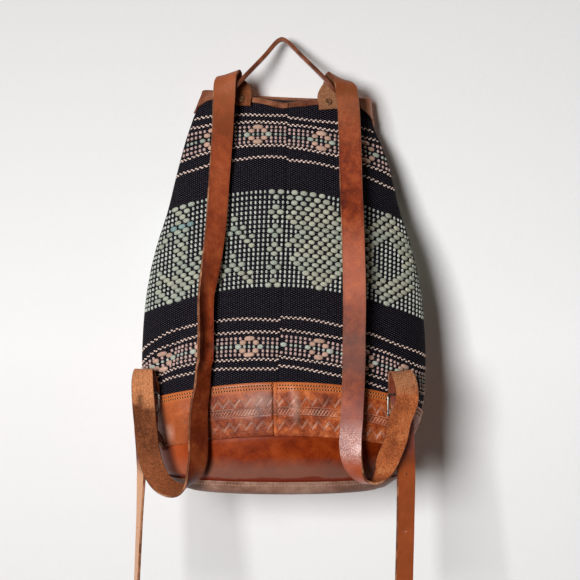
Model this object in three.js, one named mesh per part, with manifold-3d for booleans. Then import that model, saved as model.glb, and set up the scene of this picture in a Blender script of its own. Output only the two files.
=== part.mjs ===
// Woven cloth and leather backpack, hung up by its loop, strap side towards -Y.
// Millimetres, +Z up. The origin is the inside of the hang loop's top bend.
import * as THREE from "three";
import Module from "manifold-3d";

const wasm = await Module();
wasm.setup();

// Body, measured over the bulge
const BODY_WIDTH = 323;
const BODY_DEPTH = 154;
const BODY_HEIGHT = 451;
const RIM_DROP = 58; // from the hang loop's top down to the rim's corners
const BODY_X = 2; // middle of the body beside the loop's top
const BODY_Y = 16; // middle of the body behind the loop's top
const RIM_SAG = 12; // how far the strap side's rim sinks at the middle
const RIM_LEAN = 0.048; // the rim hangs lower on the right
const CREASE = 4; // depth of the creases that the straps pull in the cloth

// Sheet thicknesses
const CLOTH = 1.6;
const LEATHER = 2.5;
const BINDING = 2;
const GAP = 0.3;
const RIM_GAP = 0.6; // room in the fold of the rim leather

// Brocade and carving
const RIDGE = 0.9;
const FIELD = 0.7;
const CARVING = 0.9;

// Straps
const STRAP_WIDTH = 25;
const STRAP = 3;
const LOOP_WIDTH = 9;
const LOOP = 3.5;
const LOOP_BEND = 10; // across the inside of the hang loop's top bend
const HOLE = 4;
const HOLE_PITCH = 64;

// Buckles
const WIRE = 3;
const FRAME_HEIGHT = 24; // between the middles of the bar and the rail
const PRONG = 2.4;
const TAB = 2.2;
const TAB_LENGTH = 30;
const TURN_LEFT = 35; // degrees that each buckle faces outwards
const TURN_RIGHT = 30;

const BACK_STEPS = 12; // columns in one strap-side panel
const FRONT_STEPS = 22; // columns in the far panel
const rad = Math.PI / 180;
const V = (x, y, z) => new THREE.Vector3(x, y, z);

const COLOURS = {
  cloth: 0x1c1b22,
  leather: 0x9a5636,
  base: 0x8a4526,
  strap: 0x8e4829,
  rim: 0x8d5a44,
  metal: 0x8f8a80,
  rivet: 0x7a6a52,
};
const FINISH = Object.fromEntries(
  Object.entries(COLOURS).map(([name, color]) => [
    name,
    new THREE.MeshStandardMaterial({
      name,
      color,
      roughness: name === "cloth" ? 0.95 : 0.6,
      metalness: name === "metal" || name === "rivet" ? 0.9 : 0,
    }),
  ]),
);
const bag = new THREE.Group();
bag.name = "backpack";

function keep(name, geometry, finish) {
  const mesh = new THREE.Mesh(geometry, FINISH[finish]);
  mesh.name = name;
  bag.add(mesh);
}

// A closed solid through matching sections. A ring closes on itself, otherwise the ends are
// capped with the flat outline, which has the section's points in the same order.
function loft(sections, outline) {
  const points = [];
  const index = [];
  const seen = new Map();
  const id = (p) => {
    const key = [p.x, p.y, p.z].map((n) => Math.round(n * 2000)).join();
    if (!seen.has(key)) {
      seen.set(key, points.length / 3);
      points.push(p.x, p.y, p.z);
    }
    return seen.get(key);
  };
  const face = (a, b, c) => {
    if (a !== b && b !== c && c !== a) index.push(a, b, c);
  };
  const ids = sections.map((s) => s.map(id));
  const count = sections[0].length;
  const last = outline ? sections.length - 1 : sections.length;
  for (let i = 0; i < last; i++) {
    const a = ids[i];
    const b = ids[(i + 1) % sections.length];
    for (let j = 0; j < count; j++) {
      const k = (j + 1) % count;
      face(a[j], b[j], b[k]);
      face(a[j], b[k], a[k]);
    }
  }
  if (outline) {
    const ends = [ids[0], ids[sections.length - 1]];
    for (const [a, b, c] of THREE.ShapeUtils.triangulateShape(outline, [])) {
      const turn = THREE.ShapeUtils.isClockWise(outline);
      const [p, q, r] = turn ? [a, c, b] : [a, b, c];
      face(ends[0][p], ends[0][q], ends[0][r]);
      face(ends[1][p], ends[1][r], ends[1][q]);
    }
  }
  let volume = 0;
  const at = (i) => V(points[3 * i], points[3 * i + 1], points[3 * i + 2]);
  for (let i = 0; i < index.length; i += 3) {
    volume += at(index[i]).dot(at(index[i + 1]).cross(at(index[i + 2])));
  }
  if (volume < 0) index.reverse();
  return new THREE.BufferGeometry()
    .setAttribute("position", new THREE.Float32BufferAttribute(points, 3))
    .setIndex(index);
}

function solid(geometry) {
  return new wasm.Manifold(
    new wasm.Mesh({
      numProp: 3,
      vertProperties: new Float32Array(geometry.attributes.position.array),
      triVerts: new Uint32Array(geometry.index.array),
    }),
  );
}

function cut(geometry, ...tools) {
  let left = solid(geometry);
  for (const tool of tools) left = left.subtract(solid(tool));
  const mesh = left.getMesh();
  return new THREE.BufferGeometry()
    .setAttribute("position", new THREE.Float32BufferAttribute(mesh.vertProperties, 3))
    .setIndex([...mesh.triVerts]);
}

// Smooth reading of a table of [place, value, value...] rows, places falling.
function read(table, place, column) {
  let i = 0;
  while (i < table.length - 2 && place < table[i + 1][0]) i++;
  const share = (place - table[i][0]) / (table[i + 1][0] - table[i][0]);
  const t = Math.min(1, Math.max(0, share));
  const slope = (k) => {
    const lo = table[Math.max(0, k - 1)];
    const hi = table[Math.min(table.length - 1, k + 1)];
    return (hi[column] - lo[column]) / (hi[0] - lo[0]);
  };
  const span = table[i + 1][0] - table[i][0];
  const t2 = t * t;
  const t3 = t2 * t;
  return (
    (2 * t3 - 3 * t2 + 1) * table[i][column] +
    (t3 - 2 * t2 + t) * span * slope(i) +
    (3 * t2 - 2 * t3) * table[i + 1][column] +
    (t3 - t2) * span * slope(i + 1)
  );
}

// Body sections: height under the rim as a share, half width and half depth as shares
const BODY = [
  [0.03, 0.594, 0.136],
  [0, 0.6, 0.143],
  [-0.05, 0.628, 0.221],
  [-0.12, 0.692, 0.37],
  [-0.215, 0.762, 0.558],
  [-0.3, 0.82, 0.688],
  [-0.38, 0.891, 0.792],
  [-0.452, 0.941, 0.87],
  [-0.528, 0.975, 0.935],
  [-0.608, 0.994, 0.987],
  [-0.7, 1, 1],
  [-0.783, 0.982, 0.968],
  [-0.82, 0.948, 0.942],
  [-0.86, 0.904, 0.909],
  [-0.896, 0.87, 0.877],
  [-0.931, 0.842, 0.838],
  [-0.956, 0.814, 0.805],
  [-0.98, 0.743, 0.727],
  [-1, 0.656, 0.649],
];
// How far the woven rows drop towards the sides, and lean, at each height
const ROWS = [
  [-0.066, 20, 0.06],
  [-0.169, 26, 0.055],
  [-0.248, 27, 0.043],
  [-0.491, 34, 0.025],
  [-0.567, 35, 0.012],
  [-0.687, 29, 0],
  [-0.72, 25, 0],
  [-0.852, 20, 0],
  [-0.965, 0, 0],
];
const CREASES = [
  [V(-0.7, 0, -0.596), V(-0.86, 0, -0.716)],
  [V(0.7, 0, -0.61), V(0.91, 0, -0.71)],
];

const share = (z) => (z + RIM_DROP) / BODY_HEIGHT;
const level = (part) => part * BODY_HEIGHT - RIM_DROP;
const halfWidth = (z) => (read(BODY, share(z), 1) * BODY_WIDTH) / 2;
const halfDepth = (z) => (read(BODY, share(z), 2) * BODY_DEPTH) / 2;

// A point of the body at an angle (-90 is the strap side's middle), a height and an offset.
function onBody(angle, z, offset) {
  const c = Math.cos(angle * rad);
  const s = Math.sin(angle * rad);
  let dent = 0;
  if (s < 0) {
    const here = V(c * read(BODY, share(z), 1), 0, share(z));
    for (const [from, to] of CREASES) {
      const near = new THREE.Line3(from, to).closestPointToPoint(here, true, V(0, 0, 0));
      const away = V((near.x - here.x) * 0.36, 0, near.z - here.z).length();
      dent += CREASE * Math.exp(-((away / 0.026) ** 2));
    }
  }
  const out = offset - dent;
  return V(BODY_X + (halfWidth(z) + out) * c, BODY_Y + (halfDepth(z) + out) * s, z);
}
// Outward direction of the body's surface, and the level direction along it towards +X
function facing(angle, z) {
  const here = onBody(angle, z, 0);
  const round = onBody(angle + 0.5, z, 0).sub(here);
  const rise = onBody(angle, z + 0.5, 0).sub(here);
  return round.cross(rise).normalize();
}
const levelAlong = (normal) => V(-normal.y, normal.x, 0).normalize();
const fan = (from, to, steps) =>
  Array.from({ length: steps + 1 }, (_, i) => from + ((to - from) * i) / steps);

// Height of a woven row at an angle
function row(part, angle) {
  const c = Math.cos(angle * rad);
  const z = level(part);
  return z - read(ROWS, part, 1) * c * c - read(ROWS, part, 2) * halfWidth(z) * c;
}
const seam = (part) => -87.2 + 6.9 * Math.max(-1, part); // the middle seam leans

function rimTop(angle) {
  const c = Math.cos(angle * rad);
  const sag = Math.sin(angle * rad) < 0 ? RIM_SAG * (1 - Math.abs(c)) ** 1.5 : 2 * (1 - c * c);
  return -RIM_DROP - sag - RIM_LEAN * halfWidth(-RIM_DROP) * c;
}
function rimFoot(angle) {
  const c = Math.cos(angle * rad);
  const strap = Math.sin(angle * rad) < 0;
  return rimTop(angle) - (strap ? 6.5 : 12) - (24 + 5 * c) * c ** 8;
}

// Woven stripes as shares of the body's height: zigzag lines, and brocade fields from top to foot
const ZIGZAGS = [-0.066, -0.0825, -0.1375, -0.1685, -0.567, -0.598, -0.664, -0.686];
const NARROW = [
  [-0.088, -0.13],
  [-0.616, -0.6565],
];
const WIDE = [-0.2485, -0.491];
const BAND_TOP = -0.72;
const WELT = -0.852;
const SOLE_TOP = -0.966;
const UNDER = 9; // cloth hidden under the leather band

// Rows of one cloth panel, from the rim down: height at an angle and height of the relief
function clothRows(lines) {
  const rows = [];
  const add = (part, relief) => rows.push([part, relief]);
  for (const p of lines ? ZIGZAGS : []) {
    add(p + 0.0042, 0);
    add(p, RIDGE);
    add(p - 0.0042, 0);
  }
  for (const [top, foot] of NARROW) {
    add(top, 0);
    add(top - 0.002, FIELD);
    add(foot + 0.002, FIELD);
    add(foot, 0);
  }
  add(WIDE[0], 0);
  add(WIDE[1], 0);
  const parts = lines ? 8 : 2;
  for (let i = 0; i <= parts; i++) {
    const p = WIDE[0] - 0.002 + ((WIDE[1] - WIDE[0] + 0.004) * i) / parts;
    add(p, i % parts ? "figure" : FIELD);
  }
  return rows.sort((a, b) => b[0] - a[0]);
}

function clothPanel(name, from, to, steps, lines, holes = []) {
  const rows = clothRows(lines);
  const plain = rows.filter(([p, relief]) => relief === 0 && (p < -0.5 || p === WIDE[0]));
  const sections = fan(0, 1, steps).map((t, column) => {
    const angle = (part) => from(part) + (to(part) - from(part)) * t;
    const top = angle(0);
    const foot = angle(BAND_TOP);
    const ends = (offset) => [
      [onBody(top, rimTop(top) - BINDING - GAP, offset), onBody(top, rimFoot(top), offset)],
      [
        onBody(foot, row(BAND_TOP, foot), offset),
        onBody(foot, row(BAND_TOP, foot) - UNDER, offset),
      ],
    ];
    const wave = ([p, relief], i) => {
      const figure = relief === "figure" ? FIELD + RIDGE * ((column + i) % 2) : relief;
      return onBody(angle(p), row(p, angle(p)), CLOTH / 2 + figure);
    };
    const out = ends(CLOTH / 2);
    const inn = ends(-CLOTH / 2);
    const back = plain.map(([p]) => onBody(angle(p), row(p, angle(p)), -CLOTH / 2));
    return [...out[0], ...rows.map(wave), ...out[1], ...[...inn[0], ...back, ...inn[1]].reverse()];
  });
  const depth = rows.length + 4;
  const outline = sections[0].map((p, i) => new THREE.Vector2(i < depth ? 1 : 0, p.z));
  keep(name, cut(loft(sections, outline), ...holes), "cloth");
}

const slit = (z) => GAP / 2 / halfWidth(z) / rad; // half the gap at a seam, in degrees

// A leather sheet laid on the body: rows of [height at an angle, offset] outside and inside
function leatherSheet(angles, outside, inside, closed) {
  const sections = angles.map((a, i) => [
    ...outside(a, i).map(([z, o]) => onBody(a, z, o)),
    ...inside(a, i).map(([z, o]) => onBody(a, z, o)).reverse(),
  ]);
  const depth = outside(angles[0], 0).length;
  const outline = sections[0].map((p, i) => new THREE.Vector2(i < depth ? 1 : 0, p.z));
  return loft(sections, closed ? null : outline);
}
const LAID = CLOTH / 2 + GAP; // inside of leather laid on cloth
const LAID_OUT = LAID + LEATHER;

// Tooled band: two carved zigzag lines with a straight carved line between them
function toolRows(angle, column, top, foot) {
  const side = column % 2 ? 1 : -1;
  const groove = (z, swing, half) => [
    [z + half + swing * side, LAID_OUT],
    [z + swing * side, LAID_OUT - CARVING],
    [z - half + swing * side, LAID_OUT],
  ];
  const height = top - foot;
  const place = (part) => top - part * height;
  return [
    [top, LAID_OUT],
    ...groove(place(0.16), 0, 1.2),
    ...groove(place(0.38), 0.07 * height, 1.6),
    ...groove(place(0.58), 0, 1.4),
    ...groove(place(0.8), 0.06 * height, 1.6),
    [foot, LAID_OUT],
  ];
}

function toolBand(name, angles, holes = []) {
  const top = (a) => row(BAND_TOP, a);
  const foot = (a) => row(WELT, a) + GAP / 2;
  const sheet = leatherSheet(
    angles,
    (a, i) => toolRows(a, i, top(a), foot(a)),
    (a) => [
      [top(a), LAID],
      [top(a) - UNDER, LAID],
      [(top(a) + foot(a)) / 2 - UNDER / 2, LAID],
      [foot(a), LAID],
    ],
  );
  keep(name, cut(sheet, ...holes), "leather");
}

// A round solid along an axis: profile of [radius, distance along it]
function turned(at, axis, profile, sides = 10) {
  const helper = Math.abs(axis.z) > 0.8 ? V(1, 0, 0) : V(0, 0, 1);
  const u = helper.clone().cross(axis).normalize();
  const w = axis.clone().cross(u);
  const sections = fan(0, 360, sides)
    .slice(0, sides)
    .map((angle) =>
      profile.map(([r, d]) =>
        at
          .clone()
          .addScaledVector(axis, d)
          .addScaledVector(u, r * Math.cos(angle * rad))
          .addScaledVector(w, r * Math.sin(angle * rad)),
      ),
    );
  return loft(sections);
}
const bore = (at, axis, radius, from, to, sides = 8) =>
  turned(at, axis, [[0, from], [radius, from], [radius, to], [0, to]], sides);

// A flat strap along stations of [middle, direction of its width, share of the width], cut
// square at both ends
function strapThrough(stations, width, thick, between) {
  const curve = new THREE.CatmullRomCurve3(
    stations.map(([p]) => p),
    false,
    "centripetal",
  );
  const total = (stations.length - 1) * between;
  const sections = fan(0, 1, total).map((t, i) => {
    const step = Math.min(stations.length - 2, Math.floor(i / between));
    const [, from, narrow = 1] = stations[step];
    const [, to, wider = 1] = stations[step + 1];
    const along = curve.getTangent(t);
    const mix = i / between - step;
    const side = from.clone().lerp(to, mix).projectOnPlane(along).normalize();
    const face = side.clone().cross(along);
    const corner = (a, b) =>
      curve
        .getPoint(t)
        .addScaledVector(side, (a * width * (narrow + (wider - narrow) * mix)) / 2)
        .addScaledVector(face, (b * thick) / 2);
    return [corner(-1, -1), corner(1, -1), corner(1, 1), corner(-1, 1)];
  });
  const outline = [[0, 0], [1, 0], [1, 1], [0, 1]].map(([x, y]) => new THREE.Vector2(x, y));
  return loft(sections, outline);
}

// Places given as shares of the body: across, out on the strap side, down from the rim
const place = (across, out, down) =>
  V(
    BODY_X + (across * BODY_WIDTH) / 2,
    BODY_Y - (out * BODY_DEPTH) / 2,
    level(down),
  );

// Where a strap, the hang loop or a rivet meets the strap side's rim
const rimAngle = (across) =>
  -Math.acos((across * BODY_WIDTH) / 2 / halfWidth(-RIM_DROP)) / rad;
function rimSpot(across, below, out) {
  const angle = rimAngle(across);
  return onBody(angle, rimTop(angle) - below, CLOTH / 2 + RIM_GAP + BINDING + out);
}
const rimFacing = (across) => facing(rimAngle(across), rimTop(rimAngle(across)) - 6);

const SIDES = [
  {
    name: "left",
    turn: TURN_LEFT,
    hand: -1,
    tab: -0.285,
    loop: -0.425,
    anchor: -156,
    bar: [-0.935, 0.526, -0.804],
    top: [
      [-0.334, 0.227, 0.0245, 1, 0, 0],
      [-0.368, 0.364, 0.0475, 0.83, -0.5, 0.25],
      [-0.4, 0.5, 0.0245, 0.97, -0.2, 0.1],
      [-0.413, 0.525, -0.0265, 0.97, 0.24, 0],
      [-0.422, 0.55, -0.102, 0.9, 0.43, 0],
      [-0.442, 0.65, -0.228, 0.87, 0.49, 0],
      [-0.463, 0.81, -0.352, 0.83, 0.55, 0],
      [-0.489, 0.96, -0.45, 0.74, 0.67, 0],
      [-0.508, 1.015, -0.514, 0.6, 0.8, 0],
      [-0.508, 1.07, -0.616, 0.55, 0.83, 0],
      [-0.524, 1.09, -0.714, 0.58, 0.81, 0],
      [-0.553, 1.065, -0.785, 0.7, 0.71, 0],
      [-0.563, 1.04, -0.856, 0.78, 0.62, 0],
      [-0.585, 1.02, -0.922, 0.76, 0.63, 0.1],
      [-0.638, 0.987, -0.967, 0.5, 0.8, 0.3],
      [-0.718, 0.948, -0.983, 0.35, 0.85, 0.45],
      [-0.805, 0.909, -0.973, 0.6, 0.6, 0.5],
      [-0.873, 0.877, -0.942, 0.9, 0.25, 0.3],
      [-0.913, 0.857, -0.898, 1, 0, 0.1],
      [-0.929, 0.844, -0.838, 1, 0, 0],
      [-0.938, 0.818, -0.765, 1, 0, 0],
      [-0.947, 0.766, -0.718, 1, 0, 0],
      [-0.947, 0.649, -0.695, 0.95, -0.3, 0],
      [-0.938, 0.545, -0.71, 0.85, -0.5, 0],
    ],
    tail: [
      [-0.966, 0.64, -0.874, 0.7, -0.7, 0],
      [-0.978, 0.623, -0.945, 0.4, -0.9, 0],
      [-0.991, 0.597, -1.047, 0.3, -0.95, 0],
      [-1.009, 0.597, -1.2, 0.25, -0.95, 0],
      [-1.016, 0.597, -1.258, 0.25, -0.95, 0],
      [-1.019, 0.597, -1.278, 0.25, -0.95, 0, 0.35],
    ],
  },
  {
    name: "right",
    turn: TURN_RIGHT,
    hand: 1,
    tab: 0.295,
    loop: 0.425,
    anchor: -27,
    bar: [0.793, 0.753, -0.806],
    top: [
      [0.316, 0.227, 0.013, 1, 0, 0],
      [0.365, 0.364, 0.045, 0.85, 0.45, -0.25],
      [0.421, 0.5, 0.0155, 0.95, 0.25, -0.15],
      [0.443, 0.525, -0.0265, 1, 0, 0],
      [0.455, 0.545, -0.102, 1, 0, 0],
      [0.461, 0.64, -0.228, 1, 0, 0],
      [0.471, 0.8, -0.377, 1, 0, 0],
      [0.477, 0.935, -0.521, 1, 0, 0],
      [0.474, 0.985, -0.616, 1, 0, 0],
      [0.471, 1.005, -0.714, 1, 0, 0],
      [0.46, 1, -0.807, 1, 0, 0],
      [0.452, 1, -0.874, 1, 0, 0],
      [0.471, 0.987, -0.922, 0.8, -0.6, 0.1],
      [0.526, 0.961, -0.958, 0.3, -1, 0.2],
      [0.594, 0.935, -0.965, 0.2, -1, 0.1],
      [0.663, 0.935, -0.945, 0.6, -0.8, 0],
      [0.712, 0.955, -0.905, 1, -0.2, 0],
      [0.759, 0.968, -0.86, 1, 0, 0],
      [0.789, 0.974, -0.812, 1, 0, 0],
      [0.836, 0.968, -0.763, 1, 0, 0],
      [0.826, 0.922, -0.721, 1, 0, 0],
      [0.793, 0.844, -0.698, 0.97, 0.25, 0],
      [0.786, 0.745, -0.714, 0.9, 0.43, 0],
    ],
    tail: [
      [0.827, 0.805, -0.874, 0.88, 0.47, 0],
      [0.836, 0.779, -0.936, 0.82, 0.57, 0],
      [0.833, 0.766, -1.06, 0.8, 0.6, 0],
      [0.823, 0.779, -1.2, 0.8, 0.6, 0],
      [0.819, 0.788, -1.254, 0.8, 0.6, 0],
      [0.817, 0.792, -1.274, 0.8, 0.6, 0, 0.35],
    ],
  },
];

const rimHoles = { left: [], right: [] };
const bandHoles = { left: [], right: [] };
const loopHoles = [];

// The inside width of the buckle frame leaves room for the strap
const FRAME_INSIDE = STRAP_WIDTH + 3;
const IN_FRONT = WIRE / 2 + 3 * GAP + Math.max(TAB, PRONG) + STRAP / 2; // before the bar
const BEHIND = -(WIRE / 2 + GAP + STRAP / 2); // strap behind the far rail

for (const side of SIDES) {
  const station = ([a, o, d, x, y, z, part]) => [place(a, o, d), V(x, y, z), part];
  const centre = place(...side.bar);
  const out = V(side.hand * Math.sin(side.turn * rad), -Math.cos(side.turn * rad), 0);
  const wide = V(Math.cos(side.turn * rad), side.hand * Math.sin(side.turn * rad), 0);
  const up = V(0, 0, 1);
  const local = (x, y, z) =>
    centre.clone().addScaledVector(wide, x).addScaledVector(up, y).addScaledVector(out, z);

  // Shoulder strap, from the rim down and up again, through the buckle to the free end
  const axis = rimFacing(side.tab);
  const flat = levelAlong(axis);
  const rimAt = (below) => rimSpot(side.tab, below, 2 * GAP + STRAP / 2);
  const stations = [
    [rimAt(13), flat],
    [rimAt(6), flat],
    [rimAt(-2).add(V(0, -1, 0)), flat],
    ...side.top.map(station),
    [local(0, FRAME_HEIGHT + 7, BEHIND), wide],
    [local(0, FRAME_HEIGHT - 1, BEHIND), wide],
    [local(0, FRAME_HEIGHT / 2, (BEHIND + IN_FRONT) / 2), wide],
    [local(0, 2, IN_FRONT), wide],
    [local(0, -14, IN_FRONT + 2.5), wide],
    ...side.tail.map(station),
  ];
  const lean = Math.atan2(BEHIND - IN_FRONT, FRAME_HEIGHT - 3);
  const slotAxis = V(0, 0, 0)
    .addScaledVector(up, -Math.sin(lean))
    .addScaledVector(out, Math.cos(lean));
  const along = slotAxis.clone().cross(wide).negate();
  const slot = loft(
    [-6, 6].map((d) =>
      [[-2, -12], [2, -12], [2, 16], [-2, 16]].map(([x, y]) =>
        local(0, FRAME_HEIGHT / 2, (BEHIND + IN_FRONT) / 2)
          .addScaledVector(wide, x)
          .addScaledVector(along, y)
          .addScaledVector(slotAxis, d),
      ),
    ),
    [[0, 0], [1, 0], [1, 1], [0, 1]].map(([x, y]) => new THREE.Vector2(x, y)),
  );
  const tail = new THREE.CatmullRomCurve3(
    stations.slice(-7).map(([p]) => p),
    false,
    "centripetal",
  );
  const hole = (length) => {
    const t = length / tail.getLength();
    const dir = stations[stations.length - (t < 0.4 ? 5 : 4)][1].clone();
    const axis = dir.cross(tail.getTangentAt(t)).normalize();
    return bore(tail.getPointAt(t), axis, HOLE / 2, -8, 8);
  };
  const rivetAt = rimSpot(side.tab, 6, 0);
  const rimBore = bore(rivetAt, axis, 1.8, -14, 8);
  rimHoles[side.name].push(rimBore);
  keep(
    "shoulder_strap_" + side.name,
    cut(
      strapThrough(stations, STRAP_WIDTH, STRAP, 3),
      slot,
      rimBore,
      hole(HOLE_PITCH * 0.75),
      hole(HOLE_PITCH * 1.75),
    ),
    "strap",
  );
  const stack = CLOTH + 2 * (RIM_GAP + BINDING);
  const rivet = (at, dir, front, back, head) =>
    turned(at, dir, [
      [0, front + 1.6],
      [head * 0.6, front + 1.2],
      [head, front + GAP],
      [1.5, front + GAP],
      [1.5, -back - GAP],
      [head * 0.8, -back - GAP],
      [head * 0.8, -back - 1.2],
      [0, -back - 1.2],
    ]);
  keep("strap_rivet_" + side.name, rivet(rivetAt, axis, 3 * GAP + STRAP, stack, 4), "rivet");

  // Rivet of the hang loop's end
  const loopAt = rimSpot(side.loop, 6, 0);
  const loopAxis = rimFacing(side.loop);
  const loopBore = bore(loopAt, loopAxis, 1.8, -14, 8);
  loopHoles.push(loopBore);
  rimHoles[side.name].push(loopBore);
  keep("loop_rivet_" + side.name, rivet(loopAt, loopAxis, 7 * GAP + LOOP, stack, 3.2), "rivet");

  // Buckle frame: a bent wire closed on itself
  const wire = (x, y, dx, dy) =>
    fan(0, 300, 5).map((a) =>
      local(
        x + (dx * WIRE * Math.cos(a * rad)) / 2,
        y + (dy * WIRE * Math.cos(a * rad)) / 2,
        (WIRE * Math.sin(a * rad)) / 2,
      ),
    );
  const halfFrame = (FRAME_INSIDE + WIRE) / 2;
  const round = 3.5;
  const corners = [
    [halfFrame - round, FRAME_HEIGHT - round, 0],
    [-halfFrame + round, FRAME_HEIGHT - round, 90],
    [-halfFrame + round, round, 180],
    [halfFrame - round, round, 270],
  ];
  const ring = corners.flatMap(([x, y, start]) =>
    fan(start, start + 90, 3).map((a) => {
      const dx = Math.cos(a * rad);
      const dy = Math.sin(a * rad);
      return wire(x + round * dx, y + round * dy, dx, dy);
    }),
  );
  keep("buckle_frame_" + side.name, loft(ring), "metal");

  // Prong: a wire curled round the bar, its tip on the far rail
  const curl = WIRE / 2 + GAP + PRONG / 2;
  const prongRing = fan(-285, 0, 9).map((turn) =>
    fan(0, 300, 5).map((a) => {
      const r = curl + (PRONG * Math.cos(a * rad)) / 2;
      return local(
        (PRONG * Math.sin(a * rad)) / 2,
        r * Math.sin(turn * rad),
        r * Math.cos(turn * rad),
      );
    }),
  );
  const shaft = fan(0, 1, 3)
    .slice(1)
    .map((t) => {
      const reach = t * (FRAME_HEIGHT + 2.2);
      const thick = PRONG * (1 - 0.35 * t);
      return fan(0, 300, 5).map((a) =>
        local(
          (thick * Math.sin(a * rad)) / 2,
          reach,
          curl + (thick * Math.cos(a * rad)) / 2,
        ),
      );
    });
  const hexagon = fan(0, 300, 5).map(
    (a) => new THREE.Vector2(Math.cos(a * rad), Math.sin(a * rad)),
  );
  keep("buckle_prong_" + side.name, loft([...prongRing, ...shaft], hexagon), "metal");

  // Tab: from the side of the bag up, folded round the bar, its end riveted to itself
  const welt = row(WELT, side.anchor);
  const tabOut = LAID_OUT + 3 * GAP + TAB / 2;
  const low = onBody(side.anchor, welt - 4, tabOut);
  const high = onBody(side.anchor, welt + 13, tabOut + 3);
  const face = facing(side.anchor, welt + 5);
  const roll = WIRE / 2 + GAP + TAB / 2;
  const tabSide = levelAlong(face);
  const tabStations = [
    [low, tabSide, 0.3],
    [high, tabSide, 0.6],
    [local(0, -TAB_LENGTH * 0.55, -roll - 0.5), wide],
    [local(0, -5, -roll), wide],
    [local(0, 0, -roll), wide],
    [local(0, roll * 0.707, -roll * 0.707), wide],
    [local(0, roll, 0), wide],
    [local(0, roll * 0.707, roll * 0.707), wide],
    [local(0, 0, roll), wide],
    [local(0, -5, roll), wide],
    [local(0, -TAB_LENGTH * 0.5, roll - 0.4), wide],
  ];
  const prongSlot = loft(
    [-8, 8].map((z) =>
      [[-2.2, -6], [2.2, -6], [2.2, 8], [-2.2, 8]].map(([x, y]) => local(x, y, z)),
    ),
    [[0, 0], [1, 0], [1, 1], [0, 1]].map(([x, y]) => new THREE.Vector2(x, y)),
  );
  const foot = onBody(side.anchor, welt + 4, LAID_OUT);
  const tabBore = bore(foot, face, 1.8, -12, 6);
  const pinAt = local(0, -TAB_LENGTH * 0.36, 0);
  const pinBore = bore(pinAt, out, 1.8, -12, 12);
  bandHoles[side.name].push(tabBore);
  keep(
    "buckle_tab_" + side.name,
    cut(strapThrough(tabStations, STRAP_WIDTH - 3, TAB, 2), prongSlot, tabBore, pinBore),
    "strap",
  );
  keep(
    "tab_rivet_" + side.name,
    rivet(foot, face, TAB + 8 * GAP, GAP + LEATHER, 3),
    "rivet",
  );
  const fold = roll + TAB / 2 + GAP;
  keep("fold_rivet_" + side.name, rivet(pinAt, out, fold, fold, 2.6), "rivet");
}

// Hang loop: flat on the rim, turned edge-on up to its top bend and down again
const reach = (LOOP_BEND + LOOP) / 2;
const loopFoot = (across) => [
  rimSpot(across, 11, 5 * GAP + LOOP / 2),
  rimSpot(across, -1, 7 * GAP + LOOP / 2),
];
const [leftFoot, leftBend] = loopFoot(SIDES[0].loop);
const [rightFoot, rightBend] = loopFoot(SIDES[1].loop);
const leftFlat = levelAlong(rimFacing(SIDES[0].loop));
const rightFlat = levelAlong(rimFacing(SIDES[1].loop)).negate();
const edge = V(0, -1, 0);
const loopStations = [
  [leftFoot, leftFlat],
  [leftBend, leftFlat],
  [place(-0.345, 0.415, 0.006), V(0.1, -1, -0.1)],
  [place(-0.263, 0.4, 0.033), edge],
  [place(-0.136, 0.29, 0.081), edge],
  [V(-reach * 0.7, 0, -LOOP_BEND / 2 + reach * 0.7), edge],
  [V(0, 0, LOOP / 2), edge],
  [V(reach * 0.7, 0, -LOOP_BEND / 2 + reach * 0.7), edge],
  [place(0.13, 0.29, 0.079), edge],
  [place(0.285, 0.425, 0.019), edge],
  [place(0.365, 0.4, -0.0033), V(-0.1, -1, -0.1)],
  [rightBend, rightFlat],
  [rightFoot, rightFlat],
];
keep(
  "hang_loop",
  cut(strapThrough(loopStations, LOOP_WIDTH, LOOP, 3), ...loopHoles),
  "strap",
);

// Cloth panels
const seamLeft = (p) => seam(p) - slit(level(p));
const seamRight = (p) => seam(p) + slit(level(p));
const corner = (p) => slit(level(p));
clothPanel(
  "back_panel_left",
  (p) => -180 + corner(p),
  seamLeft,
  BACK_STEPS,
  true,
  rimHoles.left,
);
clothPanel(
  "back_panel_right",
  seamRight,
  (p) => -corner(p),
  BACK_STEPS,
  true,
  rimHoles.right,
);
clothPanel(
  "front_panel",
  (p) => corner(p),
  (p) => 180 - corner(p),
  FRONT_STEPS,
  false,
);

// Rim leather: folded over the cloth's edge, long outside, short inside
function rimLeather(name, angles, holes) {
  const half = CLOTH / 2 + RIM_GAP;
  const sections = angles.map((a) => {
    const top = rimTop(a);
    const inner = top - 10;
    return [
      onBody(a, rimFoot(a), half + BINDING),
      onBody(a, top, half + BINDING),
      onBody(a, top, -half - BINDING),
      onBody(a, inner, -half - BINDING),
      onBody(a, inner, -half),
      onBody(a, top - BINDING, -half),
      onBody(a, top - BINDING, half),
      onBody(a, rimFoot(a), half),
    ];
  });
  const outline = [
    [3, -8], [3, 0], [-3, 0], [-3, -10], [-1, -10], [-1, -2], [1, -2], [1, -8],
  ].map(([x, y]) => new THREE.Vector2(x, y));
  keep(name, cut(loft(sections, outline), ...holes), "rim");
}
const CORNER = 37; // the far band reaches round each corner by this angle
const rimSlit = 0.25;
rimLeather("rim_binding_left", fan(-180 + CORNER, seam(0) - rimSlit, 9), rimHoles.left);
rimLeather("rim_binding_right", fan(seam(0) + rimSlit, -CORNER, 9), rimHoles.right);
rimLeather(
  "rim_band_front",
  fan(-CORNER + rimSlit, 180 + CORNER - rimSlit, 30),
  [],
);

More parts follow.
